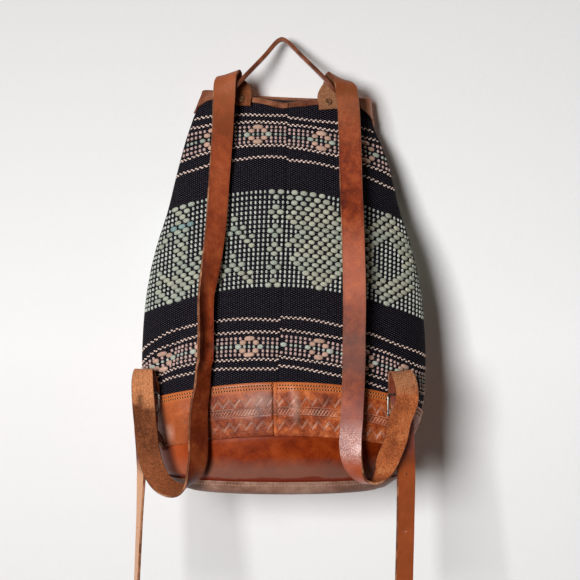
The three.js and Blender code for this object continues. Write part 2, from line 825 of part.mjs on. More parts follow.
// Tooled leather bands
const bandSlit = 0.12;
toolBand(
  "base_band_left",
  fan(-180 + bandSlit, seam(-0.78) - bandSlit, 22),
  bandHoles.left,
);
toolBand(
  "base_band_right",
  fan(seam(-0.78) + bandSlit, -bandSlit, 22),
  bandHoles.right,
);
toolBand("base_band_front", fan(bandSlit, 180 - bandSlit, 28));

// Plain base wall, and the sole turned up round its foot
const around = [...fan(-180, 0, 24), ...fan(0, 180, 18).slice(1, -1)];
const wallRows = (offset) => (a) => {
  const top = row(WELT, a) - GAP / 2;
  const foot = level(-0.981);
  return [0, 0.35, 0.7, 1].map((t) => [top + (foot - top) * t, offset]);
};
keep(
  "base_wall",
  cut(
    leatherSheet(around, wallRows(LAID_OUT), wallRows(LAID), true),
    ...bandHoles.left,
    ...bandHoles.right,
  ),
  "base",
);
const soleOut = LAID_OUT + GAP + LEATHER;
const soleIn = LAID_OUT + GAP;
const soleSections = around.map((a) => {
  const floor = level(-1);
  const flat = (z, part) => {
    const p = onBody(a, floor, LAID_OUT);
    return V(BODY_X + (p.x - BODY_X) * part, BODY_Y + (p.y - BODY_Y) * part, z);
  };
  return [
    onBody(a, level(SOLE_TOP), soleOut),
    onBody(a, level(-0.981), soleOut),
    onBody(a, level(-0.994), soleOut),
    flat(floor, 1),
    flat(floor, 0),
    flat(floor + LEATHER, 0),
    flat(floor + LEATHER, 0.97),
    onBody(a, level(-0.987), soleIn),
    onBody(a, level(-0.981), soleIn),
    onBody(a, level(SOLE_TOP), soleIn),
  ];
});
keep("base_sole", loft(soleSections), "base");

export default bag;
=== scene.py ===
import math
import random

import bpy
import numpy as np
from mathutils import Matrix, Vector


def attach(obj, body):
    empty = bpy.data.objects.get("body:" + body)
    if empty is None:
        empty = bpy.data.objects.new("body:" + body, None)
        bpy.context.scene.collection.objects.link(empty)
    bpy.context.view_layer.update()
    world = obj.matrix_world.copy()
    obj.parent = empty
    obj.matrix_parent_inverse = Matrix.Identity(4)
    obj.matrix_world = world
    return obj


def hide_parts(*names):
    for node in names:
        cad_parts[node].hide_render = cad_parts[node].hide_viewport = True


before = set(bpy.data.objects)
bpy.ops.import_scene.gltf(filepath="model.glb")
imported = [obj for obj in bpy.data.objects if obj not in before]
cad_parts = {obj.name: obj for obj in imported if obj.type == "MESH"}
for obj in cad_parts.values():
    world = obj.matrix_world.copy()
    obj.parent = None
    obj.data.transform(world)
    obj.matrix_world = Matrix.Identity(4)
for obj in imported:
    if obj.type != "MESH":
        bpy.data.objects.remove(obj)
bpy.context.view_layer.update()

# Sizes in metres, as in the solids
BODY_WIDTH, BODY_DEPTH, BODY_HEIGHT = 0.323, 0.154, 0.451
RIM_DROP, BODY_X, BODY_Y = 0.058, 0.002, 0.016
RIM_SAG, RIM_LEAN, CREASE = 0.012, 0.048, 0.004
CLOTH, LEATHER, BINDING, GAP, RIM_GAP = 0.0016, 0.0025, 0.002, 0.0003, 0.0006
STRAP_WIDTH, STRAP, LOOP_WIDTH, LOOP, LOOP_BEND = 0.025, 0.003, 0.009, 0.0035, 0.010
HOLE, HOLE_PITCH = 0.004, 0.064
WIRE, FRAME_HEIGHT, PRONG, TAB, TAB_LENGTH = 0.003, 0.024, 0.0024, 0.0022, 0.030
BAND_TOP, WELT, SOLE_TOP, UNDER = -0.72, -0.852, -0.966, 0.009
LAID = CLOTH / 2 + GAP
LAID_OUT = LAID + LEATHER
COLUMN, WEFT = 0.00505, 0.0024  # from one woven column to the next, and two woven rows
RIVET_DROP, RIVET_HOLE, LOOP_END = 0.006, 0.0018, 0.425
BAND_HEIGHT, PLAIN_END, PLAIN_FADE = 0.0595, -0.095, 0.017
SEAM_ANGLE, SEAM_LEAN = -87.2, 6.9
AHEAD = 0.4  # degrees either way that tell how a row runs
PRESS_WIDTH, PRESS_DEPTH = 0.0009, 0.0006
RIVET_SHANK, RIM_ROUND = 0.0015, 0.0022
BLACK = (0, 0, 0, 1)

# Height as a share, half width and half depth as shares
BODY = np.array([
    (0.03, 0.594, 0.136), (0, 0.6, 0.143), (-0.05, 0.628, 0.221), (-0.12, 0.692, 0.37),
    (-0.215, 0.762, 0.558), (-0.3, 0.82, 0.688), (-0.38, 0.891, 0.792), (-0.452, 0.941, 0.87),
    (-0.528, 0.975, 0.935), (-0.608, 0.994, 0.987), (-0.7, 1, 1), (-0.783, 0.982, 0.968),
    (-0.82, 0.948, 0.942), (-0.86, 0.904, 0.909), (-0.896, 0.87, 0.877), (-0.931, 0.842, 0.838),
    (-0.956, 0.814, 0.805), (-0.98, 0.743, 0.727), (-1, 0.656, 0.649),
])
# Height as a share, how far a woven row drops at the sides, how far it leans
ROWS = np.array([
    (-0.06, 0.008, 0.06), (-0.09, 0.013, 0.059), (-0.1325, 0.0225, 0.057), (-0.169, 0.026, 0.055),
    (-0.248, 0.027, 0.043), (-0.491, 0.034, 0.025), (-0.567, 0.035, 0.012), (-0.687, 0.029, 0),
    (-0.72, 0.025, 0), (-0.852, 0.020, 0), (-0.965, 0, 0),
])
# Ends of the creases in the cloth, then heights of the zigzags and bands, all as shares
CREASES = [((-0.7, -0.596), (-0.86, -0.716)), ((0.7, -0.61), (0.91, -0.71))]
ZIGZAGS = [-0.0605, -0.079, -0.1375, -0.1685, -0.567, -0.598, -0.664, -0.686]
NARROW = [(-0.0865, -0.1325), (-0.6085, -0.6575)]
WIDE = (-0.2485, -0.491)
chance = random.Random(8)


def ease(t):
    """Weights of a start, its slope, an end and its slope on a smooth curve."""
    return 2 * t**3 - 3 * t**2 + 1, t**3 - 2 * t**2 + t, 3 * t**2 - 2 * t**3, t**3 - t**2


def read(table, place, column):
    """A value of a table at a place, on a smooth curve through its rows."""
    place = np.asarray(place, float)
    number = np.arange(len(table))
    last = len(table) - 1
    i = np.clip(np.searchsorted(-table[:, 0], -place, side="right") - 1, 0, last - 1)
    lower, upper = np.maximum(number - 1, 0), np.minimum(number + 1, last)
    slope = (table[upper, column] - table[lower, column]) / (table[upper, 0] - table[lower, 0])
    span = table[i + 1, 0] - table[i, 0]
    start, leave, end, arrive = ease(np.clip((place - table[i, 0]) / span, 0, 1))
    return (
        start * table[i, column] + leave * span * slope[i]
        + end * table[i + 1, column] + arrive * span * slope[i + 1]
    )


def hump(x, width):
    return np.exp(-((x / width) ** 2))


def nearest(part, count):
    return np.round(part * count).astype(int)


def walked(points):
    """Length from the first of some points to each of them."""
    return np.concatenate([[0], np.cumsum(np.linalg.norm(np.diff(points, axis=0), axis=1))])


def share(z):
    return (z + RIM_DROP) / BODY_HEIGHT


def level(part):
    return part * BODY_HEIGHT - RIM_DROP


def half_width(z):
    return read(BODY, share(z), 1) * BODY_WIDTH / 2


def half_depth(z):
    return read(BODY, share(z), 2) * BODY_DEPTH / 2


def cos_sin(angle):
    return np.cos(np.radians(angle)), np.sin(np.radians(angle))


def on_body(angle, z, offset=0.0):
    """Points of the bag's surface. The strap side's middle is at -90 degrees."""
    c, s = cos_sin(angle)
    part = share(z)
    wide = read(BODY, part, 1)
    dent = 0.0
    for (x0, p0), (x1, p1) in CREASES:
        t = (wide * c - x0) * (x1 - x0) + (part - p0) * (p1 - p0)
        t = np.clip(t / ((x1 - x0) ** 2 + (p1 - p0) ** 2), 0, 1)
        away = np.hypot((x0 + t * (x1 - x0) - wide * c) * 0.36, p0 + t * (p1 - p0) - part)
        dent = dent + CREASE * hump(away, 0.026)
    out = offset - np.where(s < 0, dent, 0)
    x = BODY_X + (wide * BODY_WIDTH / 2 + out) * c
    at_rim, far_left = np.clip((z + 0.084) / 0.026, 0, 1), np.clip((-0.06 - x) / 0.035, 0, 1)
    x = x + 0.006 * at_rim * far_left
    far_right = np.clip((x - 0.06) / 0.03, 0, 1)
    x = x - 0.0045 * hump(z + 0.095, 0.025) * far_right
    y = BODY_Y + (half_depth(z) + out) * s
    return np.stack(np.broadcast_arrays(x, y, z), -1)


def unit(v):
    return v / np.linalg.norm(v, axis=-1, keepdims=True)


def facing(angle, z):
    """Direction straight out of the bag's surface."""
    turn = on_body(angle + 0.5, z) - on_body(angle - 0.5, z)
    rise = on_body(angle, z + 0.0005) - on_body(angle, z - 0.0005)
    return unit(np.cross(turn, rise))


def arc(angle, z, start, slack=0.0):
    """Length along the body's level outline. Slack counts what is turned away less."""
    steps = np.linspace(0, 1, 33).reshape(-1, *[1] * np.ndim(angle))
    c, s = cos_sin(start + (angle - start) * steps)
    kept = 1 - slack * (1 - np.clip((np.abs(c) - 0.93) / 0.06, 0, 1))
    speed = np.hypot(half_width(z) * s, half_depth(z) * c * kept)
    return (speed[1:] + speed[:-1]).mean(0) / 2 * np.radians(angle - start)


def row(part, angle):
    """Height of a woven row."""
    c, _ = cos_sin(angle)
    z = level(part)
    return z - read(ROWS, part, 1) * c * c - read(ROWS, part, 2) * half_width(z) * c


def band_top(angle):
    """Upper edge of the tooled band, which sinks at the right side."""
    c, _ = cos_sin(angle)
    return row(BAND_TOP, angle) - 0.013 * np.maximum(0, c) ** 6


def seam(part):
    """Angle of the middle seam."""
    return SEAM_ANGLE + SEAM_LEAN * np.maximum(-1, part)


BAND_JOINT = seam(-0.78) - 1.5


def rim_top(angle):
    c, s = cos_sin(angle)
    sag = np.where(s < 0, RIM_SAG * (1 - np.abs(c)) ** 1.5, 0.002 * (1 - c * c))
    return -RIM_DROP - sag - RIM_LEAN * half_width(-RIM_DROP) * c


def rim_foot(angle):
    c, s = cos_sin(angle)
    return rim_top(angle) - np.where(s < 0, 0.0065, 0.012) - (0.0165 + 0.002 * c) * c**8


# Shader maths


class Link:
    """An output socket. Sums, products and comparisons of links add Math nodes."""

    def __init__(self, nodes, socket):
        self.nodes, self.socket = nodes, socket

    def joined(operation):
        return lambda self, other: self.nodes.math(operation, self, other)

    def __rsub__(self, other):
        return self.nodes.math("SUBTRACT", other, self)

    __add__ = __radd__ = joined("ADD")
    __mul__ = __rmul__ = joined("MULTIPLY")
    __sub__, __truediv__ = joined("SUBTRACT"), joined("DIVIDE")
    __lt__, __gt__ = joined("LESS_THAN"), joined("GREATER_THAN")


class Nodes:
    """A tree of nodes, and short ways to add to it."""

    def __init__(self, tree):
        self.tree = tree

    def feed(self, socket, value):
        if isinstance(value, Link):
            self.tree.links.new(value.socket, socket)
        else:
            socket.default_value = value

    def node(self, kind, settings=None, inputs=None, output=0):
        made = self.tree.nodes.new("ShaderNode" + kind)
        for key, value in (settings or {}).items():
            setattr(made, key, value)
        for key, value in (inputs or {}).items():
            self.feed(made.inputs[key], value)
        return Link(self, made.outputs[output])

    def math(self, operation, a, b=0.0):
        return self.node("Math", {"operation": operation}, {0: a, 1: b})

    def mix(self, amount, a, b, blend="MIX"):
        settings = {"data_type": "RGBA", "blend_type": blend, "clamp_factor": True}
        return self.node("Mix", settings, {0: amount, 6: a, 7: b}, 2)

    def layered(self, colour, *layers):
        """Fields of other colours over a colour, each with its amount."""
        for amount, other in layers:
            colour = self.mix(amount, colour, tint(*other))
        return colour

    def ramp(self, value, *stops):
        made = self.node("ValToRGB", {}, {0: value})
        elements = made.socket.node.color_ramp.elements
        while len(elements) < len(stops):
            elements.new(1)
        for element, (at, colour) in zip(elements, stops):
            element.position, element.color = at, tint(*colour)
        return made

    def span(self, value, low, high):
        return self.node("MapRange", {"clamp": True}, {0: value, 1: low, 2: high})

    def away(self, value, middle):
        return self.math("ABSOLUTE", value - middle)

    def place(self):
        return self.node("TexCoord", output="Object")

    def axes(self, at, *numbers):
        return [self.node("SeparateXYZ", {}, {0: at}, number) for number in numbers]

    def laid(self):
        """A place on the piece, then its metres across and along."""
        at = self.node("UVMap", {"uv_map": "laid"})
        return at, *self.axes(at, 0, 1)

    def attribute(self, name, output):
        return self.node("Attribute", {"attribute_name": name}, output=output)

    def ray(self, kind):
        return self.node("LightPath", output=f"Is {kind} Ray")

    def noise(self, at, scale, detail=3, rough=0.55):
        inputs = {"Vector": at, "Scale": scale, "Detail": detail, "Roughness": rough}
        return self.node("TexNoise", {}, inputs)

    def cells(self, at, scale):
        settings = {"feature": "DISTANCE_TO_EDGE"}
        return self.node("TexVoronoi", settings, {"Vector": at, "Scale": scale})

    def stretched(self, at, x, y, z):
        return self.node("Mapping", {}, {"Vector": at, "Scale": (x, y, z)})


class Finish(Nodes):
    """A material and its shader."""

    def __init__(self, name, **values):
        self.material = bpy.data.materials.new(name)
        self.material.use_nodes = True
        super().__init__(self.material.node_tree)
        self.shader = self.tree.nodes["Principled BSDF"]
        for socket, value in values.items():
            self.feed(self.shader.inputs[socket.replace("_", " ")], value)

    def colour(self):
        return Link(self, self.shader.inputs["Base Color"].links[0].from_socket)

    def surface(self, colour, rough=None, height=None, strength=0.4, depth=0.001):
        self.feed(self.shader.inputs["Base Color"], colour)
        if rough is not None:
            self.feed(self.shader.inputs["Roughness"], rough)
        if height is not None:
            inputs = {"Height": height, "Strength": strength, "Distance": depth}
            self.feed(self.shader.inputs["Normal"], self.node("Bump", {}, inputs))
        return self


def tint(red, green, blue):
    """A colour as a screen shows it, from 0 to 255."""
    def linear(value):
        value /= 255
        return value / 12.92 if value < 0.04045 else ((value + 0.055) / 1.055) ** 2.4

    return (linear(red), linear(green), linear(blue), 1)


def woven_cloth():
    """Dark cloth of thick round yarns, which show as rows of small dots."""
    f = Finish("woven_cloth", Specular_IOR_Level=0.04, Roughness=0.95)
    at, across, along = f.laid()
    columns, rows = across * (2 * math.pi / COLUMN), along * (2 * math.pi / WEFT)
    dots = f.math("SINE", columns) * f.math("SINE", rows) * 0.5 + 0.5
    cloud, fleck = f.noise(f.place(), 28), f.noise(at, 420, 2)
    shade = f.span(dots * 0.9 + fleck * 0.35, 0.66, 1.1)
    dark = f.mix(cloud, tint(1, 1, 1), tint(5, 4, 6))
    pale = f.mix(fleck, tint(56, 52, 60), tint(84, 78, 92))
    return f.surface(f.mix(shade, dark, pale), None, dots, 0.8, 0.0008)


def yarn():
    """Loose twisted yarn, dyed copy by copy, with painted shade between its fibres."""
    f = Finish("brocade_yarn", Roughness=0.85, Specular_IOR_Level=0.25)
    dye = f.attribute("dye", "Color")
    fibre = f.noise(f.stretched(f.place(), 350, 350, 1400), 1, 2)
    # Painted shade: between the fibres the dye is darkened toward black
    colour = f.mix(f.span(fibre, 0.3, 0.75), f.mix(0.45, dye, BLACK), dye)
    return f.surface(colour, None, fibre, 0.5, 0.0005)


def leather(name, tones, rough=(0.32, 0.6), pores=1.0, scratches=0.0, shine=0.16, polish=0.0):
    """Leather in a dark, a middle and a pale tone, with pores and worn patches."""
    f = Finish(name, Specular_IOR_Level=shine, Coat_Weight=polish, Coat_Roughness=0.33)
    at, dark = f.place(), tint(*tones[0])
    cloud, patch = f.noise(at, 22, 4, 0.6), f.noise(at, 95, 5, 0.65)
    grain, fine = f.cells(at, 620), f.noise(at, 480, 3, 0.7)
    colour = f.ramp(cloud * 0.5 + patch * 0.35 + fine * 0.15, *zip((0.4, 0.5, 0.62), tones))
    colour = f.mix(f.span(grain, 0.0, 0.25) * 0.4 + 0.6, f.mix(0.6, colour, dark), colour)
    if scratches:
        line = f.noise(f.stretched(at, 40, 40, 900), 1, 3)
        colour = f.mix(f.span(line, 0.62, 0.8) * scratches, colour, dark)
    roughness = f.span(patch, 0.25, 0.75) * (rough[1] - rough[0]) + rough[0]
    height = f.span(grain, 0.0, 0.3) * 0.6 * pores + fine * 0.35 + patch * 0.5
    return f.surface(colour, roughness, height, 0.4, 0.0008)


def rim_leather_finish():
    """Worn leather of the rim, with painted shade on the inside of the bag and painted light at its
    right end.
    """
    f = leather("rim_leather", [(78, 38, 23), (114, 64, 41), (150, 94, 65)], (0.42, 0.65), 0.9)
    x, = f.axes(f.place(), 0)
    # Painted light at the right end, where the strap casts its shadow
    right_end_light, inside = f.span(x, 0.07, 0.1), f.attribute("painted_shade", "Fac")
    # Painted shade on the inside of the bag, from a point attribute that the rim's shape gives
    layers = (right_end_light * 0.6, (196, 132, 104)), (inside, (30, 15, 10))
    return f.surface(f.layered(f.colour(), *layers))


def base_finish():
    """Polished leather of the base, with a painted grey reflection at its foot, painted light at
    its left end, and dark at the seam of the sole.
    """
    tones = [(88, 26, 5), (124, 42, 8), (150, 62, 18)]
    f = leather("base_leather", tones, (0.3, 0.42), 0.4, shine=0.05, polish=0.2)
    x, z = f.axes(f.place(), 0, 2)
    z = z + (f.noise(f.place(), 30, 3) - 0.5) * 0.012
    return f.surface(f.layered(
        f.colour(),
        # Painted reflection of the pale floor, greying the foot
        (f.span(z, -0.466, -0.480) * 0.75, (116, 80, 68)),
        # Painted light at the left end, which the strap's fold would shade
        (f.span(x, -0.085, -0.12) * 0.5, (196, 94, 50)),
        (f.span(z, -0.488, -0.490), (104, 36, 18)),
    ))


def strap_finish():
    """Smooth side of the straps: painted light high on the left one, a painted grey sheen on darker
    leather and painted highlights low on the right one, pale on the left free end.
    """
    tones = [(84, 28, 11), (138, 56, 24), (176, 88, 46)]
    f = leather("strap_outside", tones, (0.3, 0.44), 0.9, 0.4, 0.1)
    x, z = f.axes(f.place(), 0, 2)
    left, right = x < 0, x > 0
    bend = right * (x < 0.1)

    def about(middle, reach):
        return 1 - f.span(f.away(z, middle), reach * 0.3, reach)

    across = f.laid()[1]
    crease = f.span(f.away(f.math("ABSOLUTE", across), 0.0108), 0.0008, 0.0002)
    blotch = f.noise(f.place(), 42, 4, 0.7)
    pebbles = f.span(f.cells(f.place(), 520), 0.05, 0.3)
    polish = (1 - f.span(z, -0.15, -0.09)) * (right * 0.25 + 0.15)
    f.feed(f.shader.inputs["Coat Weight"], polish)
    return f.surface(f.layered(
        f.colour(),
        (crease * 0.4, (60, 20, 10)),
        (f.span(blotch, 0.48, 0.64) * 0.6, (94, 32, 16)),
        # Painted light on the upper left strap, whose face turns away from the window
        (left * f.span(z, -0.32, -0.16) * 0.25, (196, 104, 70)),
        (f.span(z, -0.13, -0.07) * 0.5, (150, 88, 52)),
        (left * f.span(z, -0.37, -0.43) * 0.4, (66, 24, 11)),
        (right * about(-0.262, 0.06) * 0.4, (200, 116, 88)),
        # Darker leather under a painted grey sheen on the right strap
        (right * about(-0.35, 0.05) * 0.6, (104, 72, 64)),
        # Painted sheen lower on the right strap
        (right * about(-0.43, 0.045) * 0.4, (178, 120, 112)),
        ((x > 0.1) * f.span(z, -0.46, -0.48) * 0.6, (190, 96, 46)),
        ((x < -0.125) * f.span(z, -0.47, -0.49) * 0.85, (222, 162, 116)),
        # Painted highlight where the right strap bends, broken up by its pebbled grain
        (bend * about(-0.452, 0.03) * (pebbles * 0.6 + 0.15), (236, 198, 190)),
        (bend * f.span(z, -0.462, -0.474) * 0.5, (176, 80, 38)),
    ))


# Straight tooled lines, then zigzags: middle, pitch, swing, and the shift and way of each line
PLAIN_LINES = (0.0276, 0.0357)
ZIGZAG_LINES = [
    (0.0203, 0.0119, 0.0082, ((-0.0010, 1), (0.0011, 1))),
    (0.0316, 0.0068, 0.0056, ((0, 1), (0, -1))),
    (0.0461, 0.0119, 0.0078, ((-0.0010, 1), (0.0011, 1))),
]


def tooled_leather():
    """Tan leather with lines pressed into it, with painted shade on one wall of each line and
    painted light on the other.
    """
    f = Finish("tooled_leather", Specular_IOR_Level=0.16, Coat_Weight=0.15, Coat_Roughness=0.24)
    at = f.place()
    _, across, down = f.laid()
    cloud, patch = f.noise(at, 30, 4, 0.6), f.noise(at, 110, 5, 0.65)
    fine, grain = f.noise(at, 480, 3, 0.7), f.cells(at, 700)
    x, y = f.axes(at, 0, 1)
    strap_side = y < BODY_Y
    end = f.span(x, PLAIN_END, PLAIN_END - PLAIN_FADE) * strap_side
    worn = (f.span(f.noise(at, 55, 3), 0.36, 0.58) * 0.75 + 0.25) * (1 - end)

    grooves = [(line, 1, 0.0007) for line in PLAIN_LINES]
    for middle, pitch, swing, rows in ZIGZAG_LINES:
        wave = (f.math("PINGPONG", across, pitch / 2) / (pitch / 2) - 0.5) * swing
        slant = (f.math("FRACT", across / pitch) < 0.5) * 2 - 1
        grooves += [(middle + aside + wave * way, slant * way, 0.0008) for aside, way in rows]
    # Painted shade on the groove wall turned from the window, painted light on the wall turned to
    # it
    pressed = groove_light = 0.0
    for line, slant, wide in grooves:
        side = (down - line) * slant / wide
        dark = 1 - f.span(f.away(side, 0.35), 0.3, 0.65)
        pale = (1 - f.span(f.away(side, -0.65), 0.3, 0.6)) * (0.75 - slant * 0.25)
        pressed, groove_light = f.math("MAXIMUM", pressed, dark), f.math("MAXIMUM", groove_light, pale)

    def rubbed_sheen(middle, reach, height, spread):
        """A patch that use has made smooth, with a painted sheen on it."""
        return f.span(f.away(across, middle), reach, 0) * f.span(f.away(down, height), spread, 0)

    # Patches of painted sheen, and a painted glint near the plain left end
    sheen_patches = rubbed_sheen(-0.014, 0.024, 0.02, 0.016) * 0.4 + rubbed_sheen(-0.026, 0.016, 0.034, 0.01) * 0.25
    sheen_patches = sheen_patches + rubbed_sheen(0.025, 0.006, 0.026, 0.024) * 0.6
    sheen_patches = sheen_patches + rubbed_sheen(-0.122, 0.012, 0.042, 0.012) * strap_side
    tones = (0.39, (88, 33, 13)), (0.5, (142, 66, 34)), (0.61, (192, 110, 66))
    colour = f.ramp(cloud * 0.45 + patch * 0.4 + fine * 0.15, *tones)
    colour = f.mix(across < 0, colour, (0.74, 0.64, 0.64, 1), "MULTIPLY")
    colour = f.mix(across > 0, colour, (1.2, 1.18, 1.08, 1), "MULTIPLY")
    colour = f.layered(
        colour,
        (sheen_patches * (patch + 0.3), (232, 194, 178)),
        # Painted light at the plain left end, which the strap's fold would shade
        (end * 0.4, (206, 112, 62)),
        # Painted groove shade and light, faded where the tooling is worn
        (pressed * worn * 0.85, (54, 20, 10)),
        (groove_light * worn * 0.65, (242, 200, 176)),
        (f.span(down, 0.012, 0.008) * 0.5, (196, 106, 50)),
    )
    rough = f.span(patch, 0.25, 0.75) * 0.15 + 0.3
    height = f.span(grain, 0.0, 0.3) * 0.2 + patch * 0.6 + fine * 0.2
    return f.surface(colour, rough, height, 0.6, 0.0010)


def suede():
    """The rough inside of the straps: darker on the left one, pale above the bends, with painted
    shade at the top.
    """
    f = Finish("strap_inside", Roughness=0.95, Specular_IOR_Level=0.15)
    at = f.place()
    x, z = f.axes(at, 0, 2)
    left, right = x < 0, x > 0
    patch, fibre = f.noise(at, 60, 5, 0.7), f.noise(at, 660, 4, 0.75)
    brown = f.ramp(patch, (0.35, (64, 29, 14)), (0.55, (112, 58, 32)), (0.72, (146, 84, 50)))
    tan = f.ramp(patch, (0.35, (140, 68, 34)), (0.52, (184, 98, 52)), (0.7, (206, 130, 80)))
    fold = f.span(z + x * 0.25 + patch * 0.03, -0.437, -0.424)
    stain = f.span(f.away(x, -0.156), 0.005, 0.001) * f.span(f.away(z, -0.403), 0.011, 0.004)
    colour = f.layered(
        f.mix(right, brown, tan),
        (fold * left, (214, 140, 94)),
        # Painted shade at the top, where the strap folds over the rim
        (f.span(z, -0.12, -0.09), (122, 66, 38)),
        (left * f.span(z, -0.455, -0.475) * 0.6, (168, 94, 56)),
        (right * f.span(z + patch * 0.02, -0.39, -0.375) * 0.6, (168, 124, 92)),
        (stain * patch * 1.2, (50, 30, 20)),
    )
    dark, pale = f.mix(0.62, colour, tint(62, 28, 12)), f.mix(0.1, colour, tint(224, 150, 100))
    colour = f.mix(f.span(fibre, 0.38, 0.6), dark, pale)
    return f.surface(colour, None, fibre + patch * 0.5, 0.8, 0.0014)


def cut_edge():
    """Cut edge of thick leather, darkened by use, paler where it dried."""
    f = Finish("cut_edge", Roughness=0.8, Specular_IOR_Level=0.25)
    at = f.place()
    layers = f.noise(f.stretched(at, 500, 500, 160), 1, 4)
    dark = f.ramp(layers, (0.3, (74, 36, 20)), (0.7, (122, 68, 40)))
    dry = f.ramp(layers, (0.3, (128, 78, 50)), (0.7, (186, 134, 98)))
    colour = f.mix(f.span(f.noise(at, 35, 3), 0.48, 0.62), dark, dry)
    return f.surface(colour, None, layers, 0.5, 0.0006)


def metal(name, dark, pale, rough):
    """Worn metal in two tones."""
    f = Finish(name, Metallic=1.0)
    wear = f.noise(f.place(), 420, 4, 0.65)
    colour = f.ramp(wear, (0.35, dark), (0.65, pale))
    return f.surface(colour, f.span(wear, 0.3, 0.7) * 0.25 + rough, wear, 0.2, 0.0003)


def plain(name, red, green, blue):
    """Thread, or the painted shade inside a hole."""
    f = Finish(name, Specular_IOR_Level=0.3)
    colour = tint(red, green, blue)
    speck = f.noise(f.place(), 700, 3)
    colour = f.mix(speck, f.mix(0.35, colour, BLACK), colour)
    return f.surface(colour, speck * 0.2 + 0.7, speck, 0.3, 0.0004)


CLOTH_FINISH = woven_cloth()
YARN = yarn()
TOOLED = tooled_leather()
BASE = base_finish()
SOLE_TONES = [(108, 72, 56), (144, 106, 90), (172, 138, 120)]
SOLE = leather("sole_leather", SOLE_TONES, (0.4, 0.6), 0.7)
STRAP_OUT = strap_finish()
RIM = rim_leather_finish()
LOOP_TONES = [(58, 26, 13), (98, 48, 26), (140, 80, 48)]
LOOP_EDGE = leather("loop_edge", LOOP_TONES, (0.4, 0.6), 0.4)
SUEDE = suede()
EDGE = cut_edge()
STEEL = metal("buckle_steel", (74, 70, 66), (168, 163, 156), 0.24)
BRASS = metal("rivet_brass", (92, 62, 42), (158, 116, 84), 0.5)
THREAD = plain("stitch_thread", 236, 166, 98)
SOLE_THREAD = plain("sole_thread", 198, 158, 128)
# Painted shade inside each stitch hole, laid on as beads
HOLE_SHADE = plain("stitch_hole_shade", 22, 9, 5)

# Meshes


def added(shape, **options):
    """One of Blender's own shapes, as a new object."""
    bpy.ops.object.select_all(action="DESELECT")
    shape(**options)
    return bpy.context.active_object


def modified(piece, kind, **settings):
    """Adds a modifier to a piece and applies it."""
    bpy.context.view_layer.objects.active = piece
    modifier = piece.modifiers.new(kind.lower(), kind)
    for key, value in settings.items():
        setattr(modifier, key, value)
    bpy.ops.object.modifier_apply(modifier=modifier.name)
    return piece


def laid(name, columns, rows, place, finishes=None):
    """A sheet of faces. place(u, v) gives its points, its metres across and along, and any painted
    shade.
    """
    grid = bpy.ops.mesh.primitive_grid_add
    piece = added(grid, x_subdivisions=columns, y_subdivisions=rows, size=1)
    mesh = piece.data
    piece.name = mesh.name = name
    flat = np.empty(len(mesh.vertices) * 3)
    mesh.vertices.foreach_get("co", flat)
    u = np.round((flat[0::3] + 0.5) * columns) / columns
    v = np.round((flat[1::3] + 0.5) * rows) / rows
    points, across, along, *painted_shade = place(u, v)
    mesh.vertices.foreach_set("co", np.ascontiguousarray(points, np.float32).ravel())
    corner = np.empty(len(mesh.loops), np.int32)
    mesh.loops.foreach_get("vertex_index", corner)
    mesh.uv_layers[0].name = "laid"
    flat = np.stack(np.broadcast_arrays(across, along), -1)[corner]
    mesh.uv_layers["laid"].data.foreach_set("uv", flat.astype(np.float32).ravel())
    if painted_shade:
        depth = mesh.attributes.new("painted_shade", "FLOAT", "POINT")
        depth.data.foreach_set("value", painted_shade[0].astype(np.float32))
    if finishes:
        middle = u[corner].reshape(-1, 4).mean(1), v[corner].reshape(-1, 4).mean(1)
        mesh.polygons.foreach_set("material_index", finishes(*middle).astype(np.int32))
    mesh.update()
    return piece


def weld(piece):
    """Joins the edges that meet, and turns every face outwards."""
    bpy.context.view_layer.objects.active = piece
    bpy.ops.object.mode_set(mode="EDIT")
    bpy.ops.mesh.select_all(action="SELECT")
    bpy.ops.mesh.remove_doubles(threshold=1e-5)
    bpy.ops.mesh.normals_make_consistent(inside=False)
    bpy.ops.object.mode_set(mode="OBJECT")
    return piece


def thicken(piece, thick):
    return modified(piece, "SOLIDIFY", thickness=thick, offset=-1, use_even_offset=True)


def dress(piece, slot, body, finishes, *nodes, smooth=50):
    """Gives a piece its finishes, hides the solids it stands for, and tells what it rides on."""
    bpy.ops.object.select_all(action="DESELECT")
    piece.select_set(True)
    bpy.context.view_layer.objects.active = piece
    bpy.ops.object.shade_smooth_by_angle(angle=math.radians(smooth))
    for finish in finishes:
        piece.data.materials.append(finish.material)
    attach(piece, body)
    if nodes:
        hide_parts(*nodes)
    return piece


def bead_shape():
    """Half a rounded bead, made once for all yarns and stitches."""
    ball = added(bpy.ops.mesh.primitive_uv_sphere_add, segments=8, ring_count=6, radius=0.5)
    faces = [tuple(p.vertices) for p in ball.data.polygons if p.center.z > 0]
    kept = sorted({corner for face in faces for corner in face})
    corners = np.array([ball.data.vertices[corner].co for corner in kept])
    corners[:, :2] = np.sign(corners[:, :2]) * (np.abs(corners[:, :2]) * 2) ** 0.8 / 2
    bpy.data.objects.remove(ball)
    return corners, sorted(tuple(map(kept.index, face)) for face in faces)


BEAD = bead_shape()


